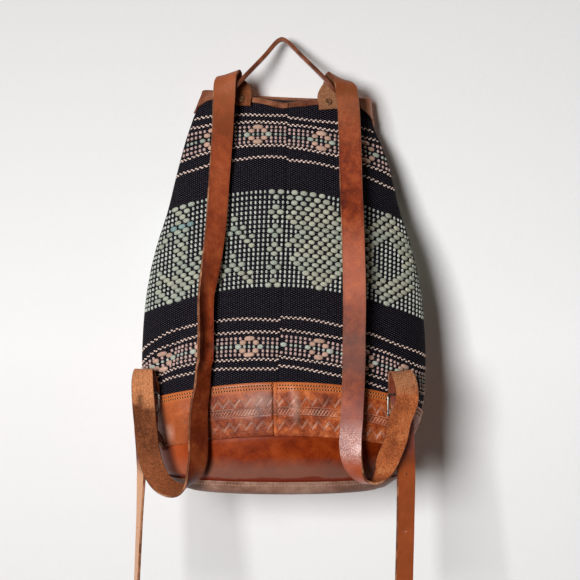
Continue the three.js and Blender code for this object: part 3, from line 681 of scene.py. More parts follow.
def copies(name, middles, across, up, out, sizes, dyes=None):
    """One piece of many beads, each turned to its surface, sized and dyed."""
    corners, faces = BEAD
    axes = np.stack([across, up, out], 1) * sizes[:, :, None]
    points = middles[:, None, :] + np.einsum("kc,ncx->nkx", corners, axes)
    count = len(corners)
    mesh = bpy.data.meshes.new(name)
    starts = range(0, count * len(middles), count)
    all_faces = [tuple(i + start for i in face) for start in starts for face in faces]
    mesh.from_pydata(points.reshape(-1, 3), [], all_faces)
    if dyes is not None:
        colours = mesh.color_attributes.new("dye", "FLOAT_COLOR", "POINT")
        colours.data.foreach_set("color", np.repeat(dyes, count, 0).astype(np.float32).ravel())
    piece = bpy.data.objects.new(name, mesh)
    bpy.context.scene.collection.objects.link(piece)
    return piece


def lie(angle, z, offset, slope=0.0, drop=0.0):
    """Place and directions of beads that lie on the body, their length along a row."""
    middle = on_body(angle, z, offset)
    out = facing(angle, z)
    ahead = on_body(angle + AHEAD, z) - on_body(angle - AHEAD, z)
    rise = drop + slope * np.linalg.norm(ahead, axis=-1)
    ahead = ahead + np.stack([np.zeros_like(z), np.zeros_like(z), rise], -1)
    across = unit(ahead - out * np.sum(ahead * out, -1, keepdims=True))
    return middle, across, np.cross(out, across), out


# Brocade figures, told in columns from the seam and rows from the top


CHEVRON = {(0, 0), (2, 0), (2, 2), (3, 1), (4, 2), (4, 4), (5, 3), (6, 4)}


def chain_chevrons_and_tree(first, line):
    """Left of the seam: whether a float starts in this column. It covers two."""
    if first <= 2:
        return first in (0, 2) if line % 4 == 0 else first == 1 and line % 2 == 1
    near = abs(first - 10)
    if near <= 4:
        return line >= 5 and ((line - 5) % 8, near) in CHEVRON
    right, left = 22 - first, first - 22
    if (line + left) % 2:
        return False
    trunk = abs(left) <= ((2, 1, 0, 1, 2)[line] if line < 5 else 1)
    right_arm = 2 <= right <= 5 and line + right in (16, 18, 20)
    falling = line - left in (2, 10, 14) and left >= 3 + 2 * (line > 9)
    left_arm = 2 <= left <= 5 and (line + left in (18, 22) or falling)
    return trunk or right_arm or left_arm


def full_and_hollow_diamond(first, line):
    """Right of the seam: a diamond filled with floats, then a hollow one."""
    if first <= 14:
        start = {7: 2, 8: 3, 9: 2, 12: 3, 13: 2}.get(line, max(0, line - 13))
        return (first + line) % 2 == 1 and start <= first <= min(7 + line, 27 - line)
    near = abs(first - 22)
    hollow, reach = min(line - 4, 16 - line, 4), min(line, 6, 20 - line)
    return (near + line) % 2 == 0 and hollow <= near <= reach


def ring_motif(column, line, first):
    """Narrow bands: kind, dye and shift of a yarn in the rings, with a flower in the middle."""
    off = (column - first + 5) % 10 - 5
    near = abs(off)
    aside = 0.4 * (off > 0) - 0.4 * (off < 0)
    if line in (0, 4):
        return ("long", "salmon", 0) if near == 0 else ("" if near == 1 else "bead", "pink", 0)
    if line in (1, 3):
        return ("float", "salmon", aside) if near == 1 else ("" if near == 2 else "bead", "pink", 0)
    return ("float", "mint", aside) if near == 2 else ("" if near == 3 else "bead", "mint", 0)


DYES = {
    "white": tint(206, 210, 200),
    "mint": tint(172, 181, 167),
    "teal": tint(138, 166, 164),
    "sage": tint(188, 188, 168),
    "salmon": tint(208, 170, 150),
    "pink": tint(208, 176, 168),
    "line": tint(250, 221, 206),
}
SIZES = {
    "bead": (0.0028, 0.0040, 0.0027),
    "float": (0.0080, 0.0056, 0.0044),
    "long": (0.0122, 0.0058, 0.0043),
}
RING_SIZES = {**SIZES, "bead": (0.0032, 0.0037, 0.0026), "float": (0.0076, 0.0055, 0.0041)}
ZIGZAG_SIZE = (0.0031, 0.0016, 0.0021)
RING_LINES, WIDE_LINES, TEAL_LINE = 5, 21, 4


def shaded(name, other=None, share_of=0.0):
    """A dye with a little chance in it, mixed with another."""
    colour = np.array(DYES[name])
    if other:
        colour = colour + (np.array(DYES[other]) - colour) * share_of
    colour = colour * chance.uniform(0.82, 1.06)
    colour[3] = 1
    return colour


def columns(begin, end, part, shift=0.5):
    """Angles of the columns of one row, and how far they are drawn apart."""
    fan = np.linspace(begin, end, 121)
    reach = np.abs(arc(fan, row(part, fan), begin, 0.5))
    apart = np.gradient(np.abs(arc(fan, row(part, fan), begin))) / np.gradient(reach)
    count = int((reach[-1] - 0.0022) / COLUMN)
    lengths = (np.arange(count) + shift) * COLUMN
    return np.interp(lengths, reach, fan), np.interp(lengths, reach, apart)


def between_columns(place, spread):
    return np.interp(place, np.arange(len(spread)), spread)


def zigzags(start, end, slip):
    """Yarns of the zigzag lines: angle, share of height, rise, slope, size and dye."""
    tilt = -1 if end < start(0) else 1
    for part in ZIGZAGS:
        for side, shift in ((1, 0.25), (-1, 0.75)):
            for angle in columns(start(part), end, part, shift)[0]:
                rise = 0.0004 * math.sin(angle * 0.21 + part * 90) + slip(part, angle)
                slope = side * tilt * 0.25
                yield angle, part, rise + side * 0.0008, slope, ZIGZAG_SIZE, shaded("line")


def narrow_bands(start, end, slip, rings):
    """Yarns of the narrow bands."""
    for (top, foot), ring in zip(NARROW, rings):
        pitch = (foot - top) / RING_LINES
        for line in range(RING_LINES):
            part = top + (line + 0.5) * pitch
            spread, apart = columns(start(part), end, part)
            for column, wider in enumerate(apart):
                kind, dye, aside = ring_motif(column, line, ring)
                if kind:
                    long, *size = RING_SIZES[kind]
                    angle = between_columns(column + aside, spread)
                    dye = shaded(dye, "white", 0.5 * (dye == "mint" and top < -0.5))
                    yield angle, part, slip(part, angle), 0, (long * wider, *size), dye


def wide_band(start, end, figure, mintness):
    """Yarns of the wide band."""
    for line in range(WIDE_LINES):
        part = WIDE[0] + (WIDE[1] - WIDE[0]) * ((line + 0.5) / WIDE_LINES) ** 0.93
        spread, apart = columns(start(part), end, part)
        teal_from = 16 if line == TEAL_LINE and figure == chain_chevrons_and_tree else math.inf
        for column, wider in enumerate(apart[:-1]):
            if figure(column - 1, line):
                continue
            drift = mintness + 0.35 * math.sin(line * 0.9 + column * 0.13)
            drift = min(1, max(0, drift + 0.2 * math.sin(column * 0.7)))
            if figure(column, line):
                kind, at, dye = "float", column + 0.5, shaded("sage", "mint", drift)
                if column > teal_from:
                    dye = shaded("teal")
            else:
                kind, at, dye = "bead", column, shaded("white", "mint", drift * 0.4)
            long, *size = SIZES[kind]
            yield between_columns(at, spread), part, 0, 0, (long * wider, *size), dye


def brocade(name, halves):
    """All raised yarns of one panel. A half starts at an angle and runs to another."""
    yarns = []
    for start, end, figure, rings, mintness, slip in halves:
        for rows in (
            zigzags(start, end, slip),
            narrow_bands(start, end, slip, rings),
            wide_band(start, end, figure, mintness),
        ):
            for *place, size, dye in rows:
                yarns.append((*place, [n * chance.uniform(0.9, 1.1) for n in size], dye))
    angles, parts, rises, slopes, sizes, dyes = (np.array(values) for values in zip(*yarns))
    drops = row(parts, angles + AHEAD) - row(parts, angles - AHEAD)
    places = lie(angles, row(parts, angles) + rises, CLOTH / 2 - 0.0001, slopes, drops)
    return copies(name, *places, sizes, dyes)


def cloth_panel(name, start, end, columns, rows):
    """One panel of cloth from under the tooled band to under the rim leather."""
    zero = 90 if "front" in name else -90

    def place(u, v):
        part = BAND_TOP * (1 - v)
        angle = start(part) + (end(part) - start(part)) * u
        foot = band_top(angle) - UNDER
        z = foot + (rim_top(angle) - BINDING - GAP - foot) * v
        across, roll = arc(angle, z, zero), 0.0
        if zero < 0:
            roll = 0.0011 * hump(across - arc(seam(part), z, zero), 0.002)
        return on_body(angle, z, CLOTH / 2 - roll), across, z

    return thicken(laid(name, columns, rows, place), CLOTH)


def band_swell(across, part):
    """How the sewn band stands up and sinks along its length."""
    swell = 0.0008 * np.sin(across * 105 + 0.6) + 0.0006 * np.sin(across * 61 + 2)
    ridge = 0.0026 * hump(across - 0.0235, 0.005)
    return (swell + ridge) * np.sin(np.pi * np.clip(part, 0, 1)) ** 0.7


def band_across(angle, z):
    """Length along the band, from its joint on the strap side or the middle of the far side."""
    back = arc(angle, z, -90) - arc(np.full_like(angle, BAND_JOINT), z, -90)
    return np.where(np.asarray(angle) > 0, arc(angle, z, 90), back)


def tooling(across, down):
    """Depth of the lines pressed into the band, from 0 to 1."""
    lines = [line + 0 * across for line in PLAIN_LINES]
    for middle, pitch, swing, rows in ZIGZAG_LINES:
        wave = (np.abs((across / pitch - 0.5) % 1 * 2 - 1) - 0.5) * swing
        lines += [middle + aside + way * wave for aside, way in rows]
    return np.max([np.clip(1 - np.abs(down - line) / PRESS_WIDTH, 0, 1) for line in lines], 0)


def tooled_band(name, start, end, columns, rows):
    """One piece of the tooled band, with its lines pressed in."""
    def place(u, v):
        angle = start + (end - start) * u
        top, foot = band_top(angle), row(WELT, angle) + GAP / 2
        z = foot + (top - foot) * v
        across = band_across(angle, z)
        tuck = 0.0014 * hump(v, 0.035) + 0.0008 * hump(1 - v, 0.02)
        lip = 0.0010 * hump(across - 0.0026, 0.0014)
        joint = (0.0012 * hump(across, 0.0009) - lip) * (angle < 0)
        plain_end = np.clip((PLAIN_END - on_body(angle, z)[:, 0]) / PLAIN_FADE, 0, 1) * (angle < 0)
        offset = LAID_OUT + band_swell(across, v) - tuck - joint
        offset = offset - PRESS_DEPTH * tooling(across, top - z) * (1 - plain_end)
        return on_body(angle, z, offset), across, top - z

    return thicken(laid(name, columns, rows, place), LEATHER * 0.6)


def rim_leather(name, start, end, columns):
    """Leather folded over the rim, from its foot outside to its edge inside."""
    half = CLOTH / 2 + RIM_GAP + BINDING

    def place(u, v):
        angle = start + (end - start) * u
        top, foot = rim_top(angle), rim_foot(angle)
        rise, dip = np.clip(v / 0.5, 0, 1), np.clip((v - 0.75) / 0.25, 0, 1)
        turn = np.pi * np.clip((v - 0.5) / 0.25, 0, 1)
        z = foot + (top - RIM_ROUND - foot) * rise + RIM_ROUND * np.sin(turn) - 0.0075 * dip
        offset = half * np.cos(turn) + 0.0004 * np.sin(angle * 0.35) * np.sin(np.pi * rise)
        # Painted shade for the rim's inner face, passed on to its finish
        inside = np.clip(dip * 4, 0, 1)
        return on_body(angle, z, offset), np.radians(angle) * 0.1, z + v * 0.01, inside

    return thicken(laid(name, columns, 24, place), BINDING * 0.8)


def base_wall():
    def place(u, v):
        angle = -180 + 360 * u
        top, foot = row(WELT, angle) - GAP / 2, level(-0.981)
        z = foot + (top - foot) * v
        tuck = 0.0004 * hump(1 - v, 0.04)
        swell = 0.0005 * np.sin(angle * 0.09) * np.sin(np.pi * v)
        return on_body(angle, z, LAID_OUT - tuck + swell), angle, z

    return thicken(weld(laid("base_wall_leather", 200, 36, place)), LEATHER * 0.8)


def base_sole():
    """The sole: up inside its edge, over it, down outside, under the bag and back inside."""
    outer, inner = LAID_OUT + GAP + LEATHER, LAID_OUT + GAP
    floor, top = level(-1), level(SOLE_TOP)
    # Heights with offsets from the body, then heights with shares of the foot's radius
    walls = [(level(-0.987), inner), (level(-0.981), inner), (top - 0.0008, inner)]
    walls += [(top, inner + 0.0008), (top, outer - 0.0009), (top - 0.0009, outer)]
    walls += [(level(part), outer) for part in (-0.972, -0.977, -0.982, -0.988, -0.994)]
    under = [(floor + 0.0010, 1.006)] + [(floor, part) for part in (0.985, 0.9, 0.6, 0.3, 0)]
    under += [(floor + LEATHER, part) for part in (0, 0.5, 0.97)]
    rows = [(z, z, offset, 1) for z, offset in walls]
    rows += [(z, floor, LAID_OUT, part) for z, part in under]
    rows = np.array(rows + rows[:1])
    foot = np.array([BODY_X, BODY_Y])

    def place(u, v):
        angle = -180 + 360 * u
        z, body_z, offset, part = rows[nearest(v, len(rows) - 1)].T
        points = on_body(angle, body_z, offset)
        points[:, :2] = foot + (points[:, :2] - foot) * part[:, None]
        points[:, 2] = z
        return points, angle, v

    return weld(laid("base_sole_leather", 160, len(rows) - 1, place))


# Straps


def slope_at(before, here, after, a, b):
    return (here - before) / a - (after - before) / (a + b) + (after - here) / b


def through(points, between):
    """A smooth curve through points, and its directions."""
    p = np.array(points, float)
    p = np.vstack([2 * p[0] - p[1], p, 2 * p[-1] - p[-2]])
    step = np.sqrt(np.linalg.norm(np.diff(p, axis=0), axis=1))
    spots, ways = [], []
    for i in range(1, len(p) - 2):
        a, b, c = step[i - 1 : i + 2]
        m0, m1 = slope_at(*p[i - 1 : i + 2], a, b) * b, slope_at(*p[i : i + 3], b, c) * b
        t = (np.arange(between + (i == len(p) - 3)) / between)[:, None]
        start, leave, end, arrive = ease(t)
        spots.append(start * p[i] + leave * m0 + end * p[i + 1] + arrive * m1)
        way = (6 * t**2 - 6 * t) * (p[i] - p[i + 1])
        ways.append(way + (3 * t**2 - 4 * t + 1) * m0 + (3 * t**2 - 2 * t) * m1)
    return np.vstack(spots), unit(np.vstack(ways))


# Half of a strap's width and thickness round its section
FACE = np.linspace(-0.96, 0.96, 13)
SECTION_A = np.concatenate([FACE, [1, 1], FACE[::-1], [-1, -1], [-0.96]])
SECTION_B = np.repeat([-1, -0.5, 0.5, 1, 0.5, -0.5, -1], [13, 1, 1, 13, 1, 1, 1])


def strap(name, stations, width, thick, between, cup=None):
    """A flat strap: the smooth side out, the rough side in, and cut edges."""
    middles, ways = through([s[0] for s in stations], between)
    count = len(middles)
    at = np.arange(count) / between
    known = np.arange(len(stations))
    sides = np.array([s[1] for s in stations], float)
    sides = np.stack([np.interp(at, known, axis) for axis in sides.T], -1)
    sides = unit(sides - ways * np.sum(sides * ways, -1, keepdims=True))
    parts = np.interp(at, known, [s[2] if len(s) > 2 else 1 for s in stations])
    faces = np.cross(sides, ways)
    length = walked(middles)
    steps = len(SECTION_A) - 1

    def place(u, v):
        i, k = nearest(v, count - 1), nearest(u, steps)
        a, b = SECTION_A[k], SECTION_B[k].copy()
        b[(i == 0) | (i == count - 1)] = 0
        across = a * width * parts[i] / 2
        bend = cup(middles[i], length[i] / length[-1]) * (a * a - 0.6) if cup else 0
        lift = b * thick / 2 - bend
        return middles[i] + sides[i] * across[:, None] + faces[i] * lift[:, None], across, length[i]

    def finish(u, v):
        k = u * steps
        return np.where(k < 12, 0, np.where((k > 15) & (k < 27), 1, 2))

    return weld(laid(name, steps, count - 1, place, finish))


def punch(piece, cutter):
    """Cuts a hole through a piece."""
    modified(piece, "BOOLEAN", operation="DIFFERENCE", solver="EXACT", object=cutter)
    bpy.data.objects.remove(cutter)


def pin(at, axis, radius, depth):
    """A round hole's cutter."""
    sizes = {"vertices": 20, "radius": radius, "depth": depth}
    turn = Vector(axis).to_track_quat("Z", "Y").to_euler()
    made = added(bpy.ops.mesh.primitive_cylinder_add, location=at, rotation=turn, **sizes)
    bpy.ops.object.transform_apply(location=True, rotation=True, scale=True)
    return made


def oblong(at, wide, along, axis, half, ends, depth):
    """A long slot's cutter, its ends given along its length."""
    block = added(bpy.ops.mesh.primitive_cube_add, size=1)
    middle, reach = (ends[0] + ends[1]) / 2, ends[1] - ends[0]
    for corner in block.data.vertices:
        x, y, z = corner.co
        place = at + wide * x * 2 * half + along * (middle + y * reach) + axis * z * depth
        corner.co = Vector(place)
    return weld(block)


def tube(name, points, radii, around, closed=False):
    """A round wire through points."""
    p = np.array(points, float)
    ways = unit(np.roll(p, -1, 0) - np.roll(p, 1, 0)) if closed else unit(np.gradient(p, axis=0))
    side = np.cross(ways[0], [0.3, 0.2, 1.0])
    sides = []
    for way in ways:
        side = unit(side - way * np.dot(side, way))
        sides.append(side)
    sides = np.array(sides)
    ups = np.cross(ways, sides)
    count = len(p)
    radii = np.broadcast_to(radii, count)
    rows = count if closed else count - 1

    def place(u, v):
        i = nearest(v, rows) % count
        turn = 2 * np.pi * u
        spread = sides[i] * np.cos(turn)[:, None] + ups[i] * np.sin(turn)[:, None]
        return p[i] + spread * radii[i][:, None], u * 0.01, v * 0.1

    return weld(laid(name, around, rows, place))


def turned(name, at, axis, profile):
    """A round piece about an axis, from its radius and distance along it."""
    helper = np.array([1.0, 0, 0]) if abs(axis[2]) > 0.8 else np.array([0, 0, 1.0])
    across = unit(np.cross(helper, axis))
    up = np.cross(axis, across)
    shape = np.array(profile)

    def place(u, v):
        i = nearest(v, len(shape) - 1)
        turn = 2 * np.pi * u
        spread = np.cos(turn)[:, None] * across + np.sin(turn)[:, None] * up
        return at + spread * shape[i, :1] + axis * shape[i, 1:], u, v

    return weld(laid(name, 28, len(shape) - 1, place))


def rivet(kind, side, at, axis, front, back, head):
    """A head in front, a washer behind, and the shank between them."""
    across = 0, 0.3, 0.5, 0.6, 0.75, 0.9, 1, 0.97
    rises = 1.15, 1.15, 1.1, 1.25, 1.25, 1, 0.6, 0.3
    washer = (0.78, GAP), (0.8, 0.0004), (0.8, 0.0009), (0.7, 0.0012), (0, 0.0012)
    profile = [(head * part, front + rise / 1000) for part, rise in zip(across, rises)]
    profile += [(RIVET_SHANK, front + GAP), (RIVET_SHANK, -back - GAP)]
    profile += [(head * part, -back - depth) for part, depth in washer]
    piece = turned(f"rivet_{kind}_{side}", at, axis, profile)
    dress(piece, "rivet_metal", "bag", [BRASS], f"{kind}_rivet_{side}", smooth=40)


def spot(across, out, down):
    """A place in shares of the body: across, out on the strap side, down from the rim."""
    return np.array([BODY_X + across * BODY_WIDTH / 2, BODY_Y - out * BODY_DEPTH / 2, level(down)])


def rim_angle(across):
    """Angle of a place on the strap side's rim, told as a share of the width."""
    return -math.degrees(math.acos(across * BODY_WIDTH / 2 / half_width(-RIM_DROP)))


def rim_spot(across, below, out):
    angle = rim_angle(across)
    return on_body(angle, rim_top(angle) - below, CLOTH / 2 + RIM_GAP + BINDING + out)


def rim_facing(across):
    return facing(rim_angle(across), rim_top(rim_angle(across)) - RIVET_DROP)


def level_along(normal):
    return unit(np.array([-normal[1], normal[0], 0]))


# Stations of the straps: a place in shares, a direction across and a share of the width
LEFT_TOP = [
    (-0.35, 0.227, 0.0245, 1, 0, 0, 0.82), (-0.368, 0.364, 0.041, 0.83, -0.5, 0.25),
    (-0.4, 0.5, 0.0245, 0.97, -0.2, 0.1), (-0.413, 0.525, -0.0265, 0.97, 0.24, 0),
    (-0.422, 0.55, -0.102, 0.9, 0.43, 0), (-0.442, 0.72, -0.228, 0.87, 0.49, 0),
    (-0.463, 0.91, -0.352, 0.83, 0.55, 0), (-0.496, 1.06, -0.45, 0.74, 0.67, 0),
    (-0.526, 1.105, -0.514, 0.6, 0.8, 0), (-0.532, 1.14, -0.616, 0.55, 0.83, 0),
    (-0.542, 1.12, -0.714, 0.58, 0.81, 0), (-0.57, 1.065, -0.785, 0.7, 0.71, 0),
    (-0.574, 1.04, -0.856, 0.78, 0.62, 0), (-0.585, 1.02, -0.922, 0.76, 0.63, 0.1),
    (-0.638, 0.987, -0.967, 0.5, 0.8, 0.3), (-0.718, 0.948, -0.983, 0.35, 0.85, 0.45),
    (-0.805, 0.909, -0.973, 0.6, 0.6, 0.5), (-0.873, 0.877, -0.942, 0.9, 0.25, 0.3),
    (-0.913, 0.857, -0.898, 1, 0, 0.1), (-0.936, 0.844, -0.838, 1, 0, 0),
    (-0.956, 0.818, -0.765, 1, 0, 0), (-0.964, 0.766, -0.718, 1, 0, 0, 0.96),
    (-0.962, 0.649, -0.695, 0.95, -0.3, 0, 0.88), (-0.945, 0.545, -0.71, 0.85, -0.5, 0, 0.96),
]
LEFT_TAIL = [
    (-0.966, 0.64, -0.874, 0.7, -0.7, 0), (-0.978, 0.623, -0.945, 0.4, -0.9, 0),
    (-0.991, 0.597, -1.047, 0.3, -0.95, 0), (-1.009, 0.597, -1.2, 0.25, -0.95, 0),
    (-1.016, 0.597, -1.258, 0.25, -0.95, 0), (-1.019, 0.597, -1.278, 0.25, -0.95, 0, 0.35),
]
RIGHT_TOP = [
    (0.336, 0.227, 0.013, 1, 0, 0, 0.82), (0.365, 0.364, 0.032, 0.82, 0.42, -0.4),
    (0.421, 0.5, 0.01, 0.95, 0.25, -0.25), (0.443, 0.525, -0.0265, 1, 0, 0),
    (0.455, 0.565, -0.102, 1, 0, 0), (0.461, 0.73, -0.228, 1, 0, 0), (0.471, 1, -0.377, 1, 0, 0),
    (0.477, 1.12, -0.521, 1, 0, 0), (0.474, 1.11, -0.616, 1, 0, 0), (0.471, 1.07, -0.714, 1, 0, 0),
    (0.46, 1.03, -0.807, 1, 0, 0), (0.452, 1, -0.874, 0.985, -0.17, 0),
    (0.471, 0.987, -0.922, 0.8, -0.6, 0.1), (0.526, 0.961, -0.958, 0.3, -1, 0.2),
    (0.594, 0.935, -0.965, 0.2, -1, 0.1), (0.663, 0.935, -0.945, 0.6, -0.8, 0),
    (0.712, 0.955, -0.905, 1, -0.2, 0), (0.759, 0.968, -0.86, 1, 0, 0),
    (0.789, 0.974, -0.812, 1, 0, 0), (0.836, 0.968, -0.763, 1, 0, 0),
    (0.826, 0.922, -0.721, 1, 0, 0), (0.793, 0.844, -0.698, 0.97, 0.25, 0),
    (0.786, 0.745, -0.714, 0.9, 0.43, 0),
]
RIGHT_TAIL = [
    (0.827, 0.805, -0.874, 0.88, 0.47, 0), (0.836, 0.779, -0.936, 0.82, 0.57, 0),
    (0.833, 0.766, -1.06, 0.8, 0.6, 0), (0.823, 0.779, -1.2, 0.8, 0.6, 0),
    (0.819, 0.788, -1.254, 0.8, 0.6, 0), (0.817, 0.792, -1.274, 0.8, 0.6, 0, 0.35),
]
# Name, hand, turn outwards, strap's place on the rim, angle of the tab, bar, stations
SIDES = [
    ("left", -1, 35, -0.285, -156, (-0.935, 0.526, -0.804), LEFT_TOP, LEFT_TAIL),
    ("right", 1, 30, 0.295, -27, (0.793, 0.753, -0.806), RIGHT_TOP, RIGHT_TAIL),
]
RIM_STACK = CLOTH + 2 * (RIM_GAP + BINDING)
STRAP_FINISHES = [STRAP_OUT, SUEDE, EDGE]
LOOP_FINISHES = [STRAP_OUT, SUEDE, LOOP_EDGE]


def left_cup(middle, run):
    """The left strap is hollowed lengthwise in the middle of its run."""
    return 0.0075 * hump(middle[:, 2] + 0.345, 0.06) * (run < 0.4)


def station(row_of):
    """A row of the tables as a place, a direction across and a share of the width."""
    return (spot(*row_of[:3]), np.array(row_of[3:6]), *row_of[6:])


def buckle_axes(hand, turn, bar):
    """Directions across, up and out at a buckle, and places told in them from its bar."""
    c, s = math.cos(math.radians(turn)), math.sin(math.radians(turn))
    wide, up, out = np.array([c, hand * s, 0]), np.array([0, 0, 1.0]), np.array([hand * s, -c, 0])
    centre = spot(*bar)

    def local(x, y, z):
        return centre + wide * x + up * y + out * z

    return wide, up, out, local


def make_strap(name, hand, axes, tab, top, tail):
    """A shoulder strap from its rivet on the rim, through the buckle, to its free end."""
    wide, up, out, local = axes
    axis = rim_facing(tab)
    flat = level_along(axis)
    in_front = WIRE / 2 + 3 * GAP + max(TAB, PRONG) + STRAP / 2
    behind = -(WIRE / 2 + GAP + STRAP / 2)
    middle = local(0, FRAME_HEIGHT / 2, (behind + in_front) / 2)

    def on_rim(below):
        return rim_spot(tab, below, 2 * GAP + STRAP / 2)

    stations = [
        (on_rim(0.013), flat),
        (on_rim(RIVET_DROP), flat),
        (on_rim(-0.002) + np.array([0, -0.001, 0]), flat),
        *map(station, top),
        (local(0, FRAME_HEIGHT + 0.007, behind), wide),
        (local(0, FRAME_HEIGHT - 0.001, behind), wide),
        (middle, wide),
        (local(0, 0.002, in_front), wide),
        (local(0, -0.014, in_front + 0.0025), wide),
        *map(station, tail),
    ]
    cup = left_cup if hand < 0 else None
    piece = strap("strap_" + name, stations, STRAP_WIDTH, STRAP, 6, cup)
    lean = math.atan2(behind - in_front, FRAME_HEIGHT - 0.003)
    slot_axis = up * -math.sin(lean) + out * math.cos(lean)
    along = -np.cross(slot_axis, wide)
    punch(piece, oblong(middle, wide, along, slot_axis, 0.002, (-0.012, 0.016), 0.012))
    free, ways = through([p[0] for p in stations[-7:]], 20)
    reach = walked(free)
    for length in (HOLE_PITCH * 0.75, HOLE_PITCH * 1.75):
        i = int(np.searchsorted(reach, length))
        side = stations[-5 if length < 0.4 * reach[-1] else -4][1]
        punch(piece, pin(free[i], unit(np.cross(side, ways[i])), HOLE * 0.4, 0.016))
    rivet_at = rim_spot(tab, RIVET_DROP, 0)
    punch(piece, pin(rivet_at, axis, RIVET_HOLE, 0.020))
    dress(piece, "strap_leather", "bag", STRAP_FINISHES, "shoulder_strap_" + name)
    rivet("strap", name, rivet_at, axis, 3 * GAP + STRAP, RIM_STACK, 0.004)


def make_buckle(name, axes):
    """A frame of bent wire, and a prong curled round its bar."""
    _, up, _, local = axes
    bend = 0.0035
    half = (STRAP_WIDTH + 0.003 + WIRE) / 2 - bend
    ring = []
    for x, y, begin in (
        (half, FRAME_HEIGHT - bend, 0), (-half, FRAME_HEIGHT - bend, 90),
        (-half, bend, 180), (half, bend, 270),
    ):
        for a in np.radians(np.linspace(begin, begin + 90, 7)):
            ring.append(local(x + bend * math.cos(a), y + bend * math.sin(a), 0))
    wire = tube("buckle_wire_" + name, ring, WIRE * 0.42, 14, True)
    dress(wire, "buckle_metal", "frame_" + name, [STEEL], "buckle_frame_" + name)

    curl = WIRE / 2 + GAP + PRONG / 2
    turns = np.radians(np.linspace(-285, 0, 22))
    path = [local(0, curl * math.sin(a), curl * math.cos(a)) for a in turns]
    radii = [PRONG / 2] * len(turns)
    for t in np.linspace(0, 1, 9)[1:]:
        path.append(local(0, t * (FRAME_HEIGHT + 0.0022), curl))
        radii.append(PRONG / 2 * (1 - 0.35 * t))
    path = [path[0] - (path[1] - path[0]) * 0.2, *path, path[-1] + up * 0.0004]
    wire = tube("prong_wire_" + name, path, np.array([0.0, *radii, 0.0]), 12)
    dress(wire, "buckle_metal", "prong_" + name, [STEEL], "buckle_prong_" + name)


def make_tab(name, axes, anchor):
    """A tab from the side of the bag, folded round the buckle's bar."""
    wide, up, out, local = axes
    welt = row(WELT, anchor)
    tab_out = LAID_OUT + 3 * GAP + TAB / 2
    face = facing(anchor, welt + 0.005)
    flat = level_along(face)
    roll = WIRE / 2 + GAP + TAB / 2
    fold = [(roll * math.sin(a), -roll * math.cos(a)) for a in np.radians([0, 45, 90, 135, 180])]
    stations = [
        (on_body(anchor, welt - 0.004, tab_out), flat, 0.3),
        (on_body(anchor, welt + 0.013, tab_out + 0.003), flat, 0.6),
        (local(0, -TAB_LENGTH * 0.55, -roll - 0.0005), wide),
        (local(0, -0.005, -roll), wide),
        *[(local(0, y, z), wide) for y, z in fold],
        (local(0, -0.005, roll), wide),
        (local(0, -TAB_LENGTH * 0.5, roll - 0.0004), wide),
    ]
    piece = strap("tab_" + name, stations, STRAP_WIDTH - 0.003, TAB, 4)
    punch(piece, oblong(local(0, 0, 0), wide, up, out, 0.0022, (-0.006, 0.008), 0.016))
    foot, fold_at = on_body(anchor, welt + 0.004, LAID_OUT), local(0, -TAB_LENGTH * 0.36, 0)
    punch(piece, pin(foot, face, RIVET_HOLE, 0.018))
    punch(piece, pin(fold_at, out, RIVET_HOLE, 0.024))
    dress(piece, "strap_leather", "bag", STRAP_FINISHES, "buckle_tab_" + name)
    rivet("tab", name, foot, face, TAB + 8 * GAP, GAP + LEATHER, 0.003)
    grip = roll + TAB / 2 + GAP
    rivet("fold", name, fold_at, out, grip, grip, 0.0026)


def make_loop():
    """The loop that the bag hangs by, its ends riveted to the rim behind the straps."""
    reach = (LOOP_BEND + LOOP) / 2
    edge = np.array([0, -1.0, 0])

    def foot(across):
        low, high = 5 * GAP + LOOP / 2, 7 * GAP + LOOP / 2
        return rim_spot(across, 0.011, low), rim_spot(across, -0.001, high)

    left, right = foot(-LOOP_END), foot(LOOP_END)
    left_flat, right_flat = level_along(rim_facing(-LOOP_END)), -level_along(rim_facing(LOOP_END))
    bend = -LOOP_BEND / 2 + reach * 0.7
    stations = [
        (left[0], left_flat),
        (left[1], left_flat),
        (spot(-0.345, 0.415, 0.006), np.array([0.1, -1, -0.1])),
        (spot(-0.263, 0.4, 0.037), edge),
        (spot(-0.136, 0.29, 0.0875), edge),
        (np.array([-reach * 0.7, 0, bend]), edge),
        (np.array([0, 0, LOOP / 2]), edge),
        (np.array([reach * 0.7, 0, bend]), edge),
        (spot(0.13, 0.29, 0.0865), edge),
        (spot(0.285, 0.425, 0.028), edge),
        (spot(0.365, 0.4, -0.0033), np.array([-0.1, -1, -0.1])),
        (right[1], right_flat),
        (right[0], right_flat),
    ]
    piece = strap("hang_loop_leather", stations, LOOP_WIDTH, LOOP * 1.15, 6)
    for across in (-LOOP_END, LOOP_END):
        punch(piece, pin(rim_spot(across, RIVET_DROP, 0), rim_facing(across), RIVET_HOLE, 0.024))
    dress(piece, "strap_leather", "bag", LOOP_FINISHES, "hang_loop")


def stitch_row(name, angles, height, offset, size, finish, slot):
    """A row of stitches, or of beads that paint the shade inside each stitch hole."""
    places = lie(angles, height(angles), offset)
    dress(copies(name, *places, np.tile(size, (len(angles), 1))), slot, "bag", [finish])


def even_angles(start, end, height, pitch):
    """Angles a stitch apart along a line round the body."""
    fan = np.linspace(start, end, 721)
    reach = walked(on_body(fan, height(fan), LAID_OUT))
    return np.interp(np.arange(pitch / 2, reach[-1] - pitch / 3, pitch), reach, fan)


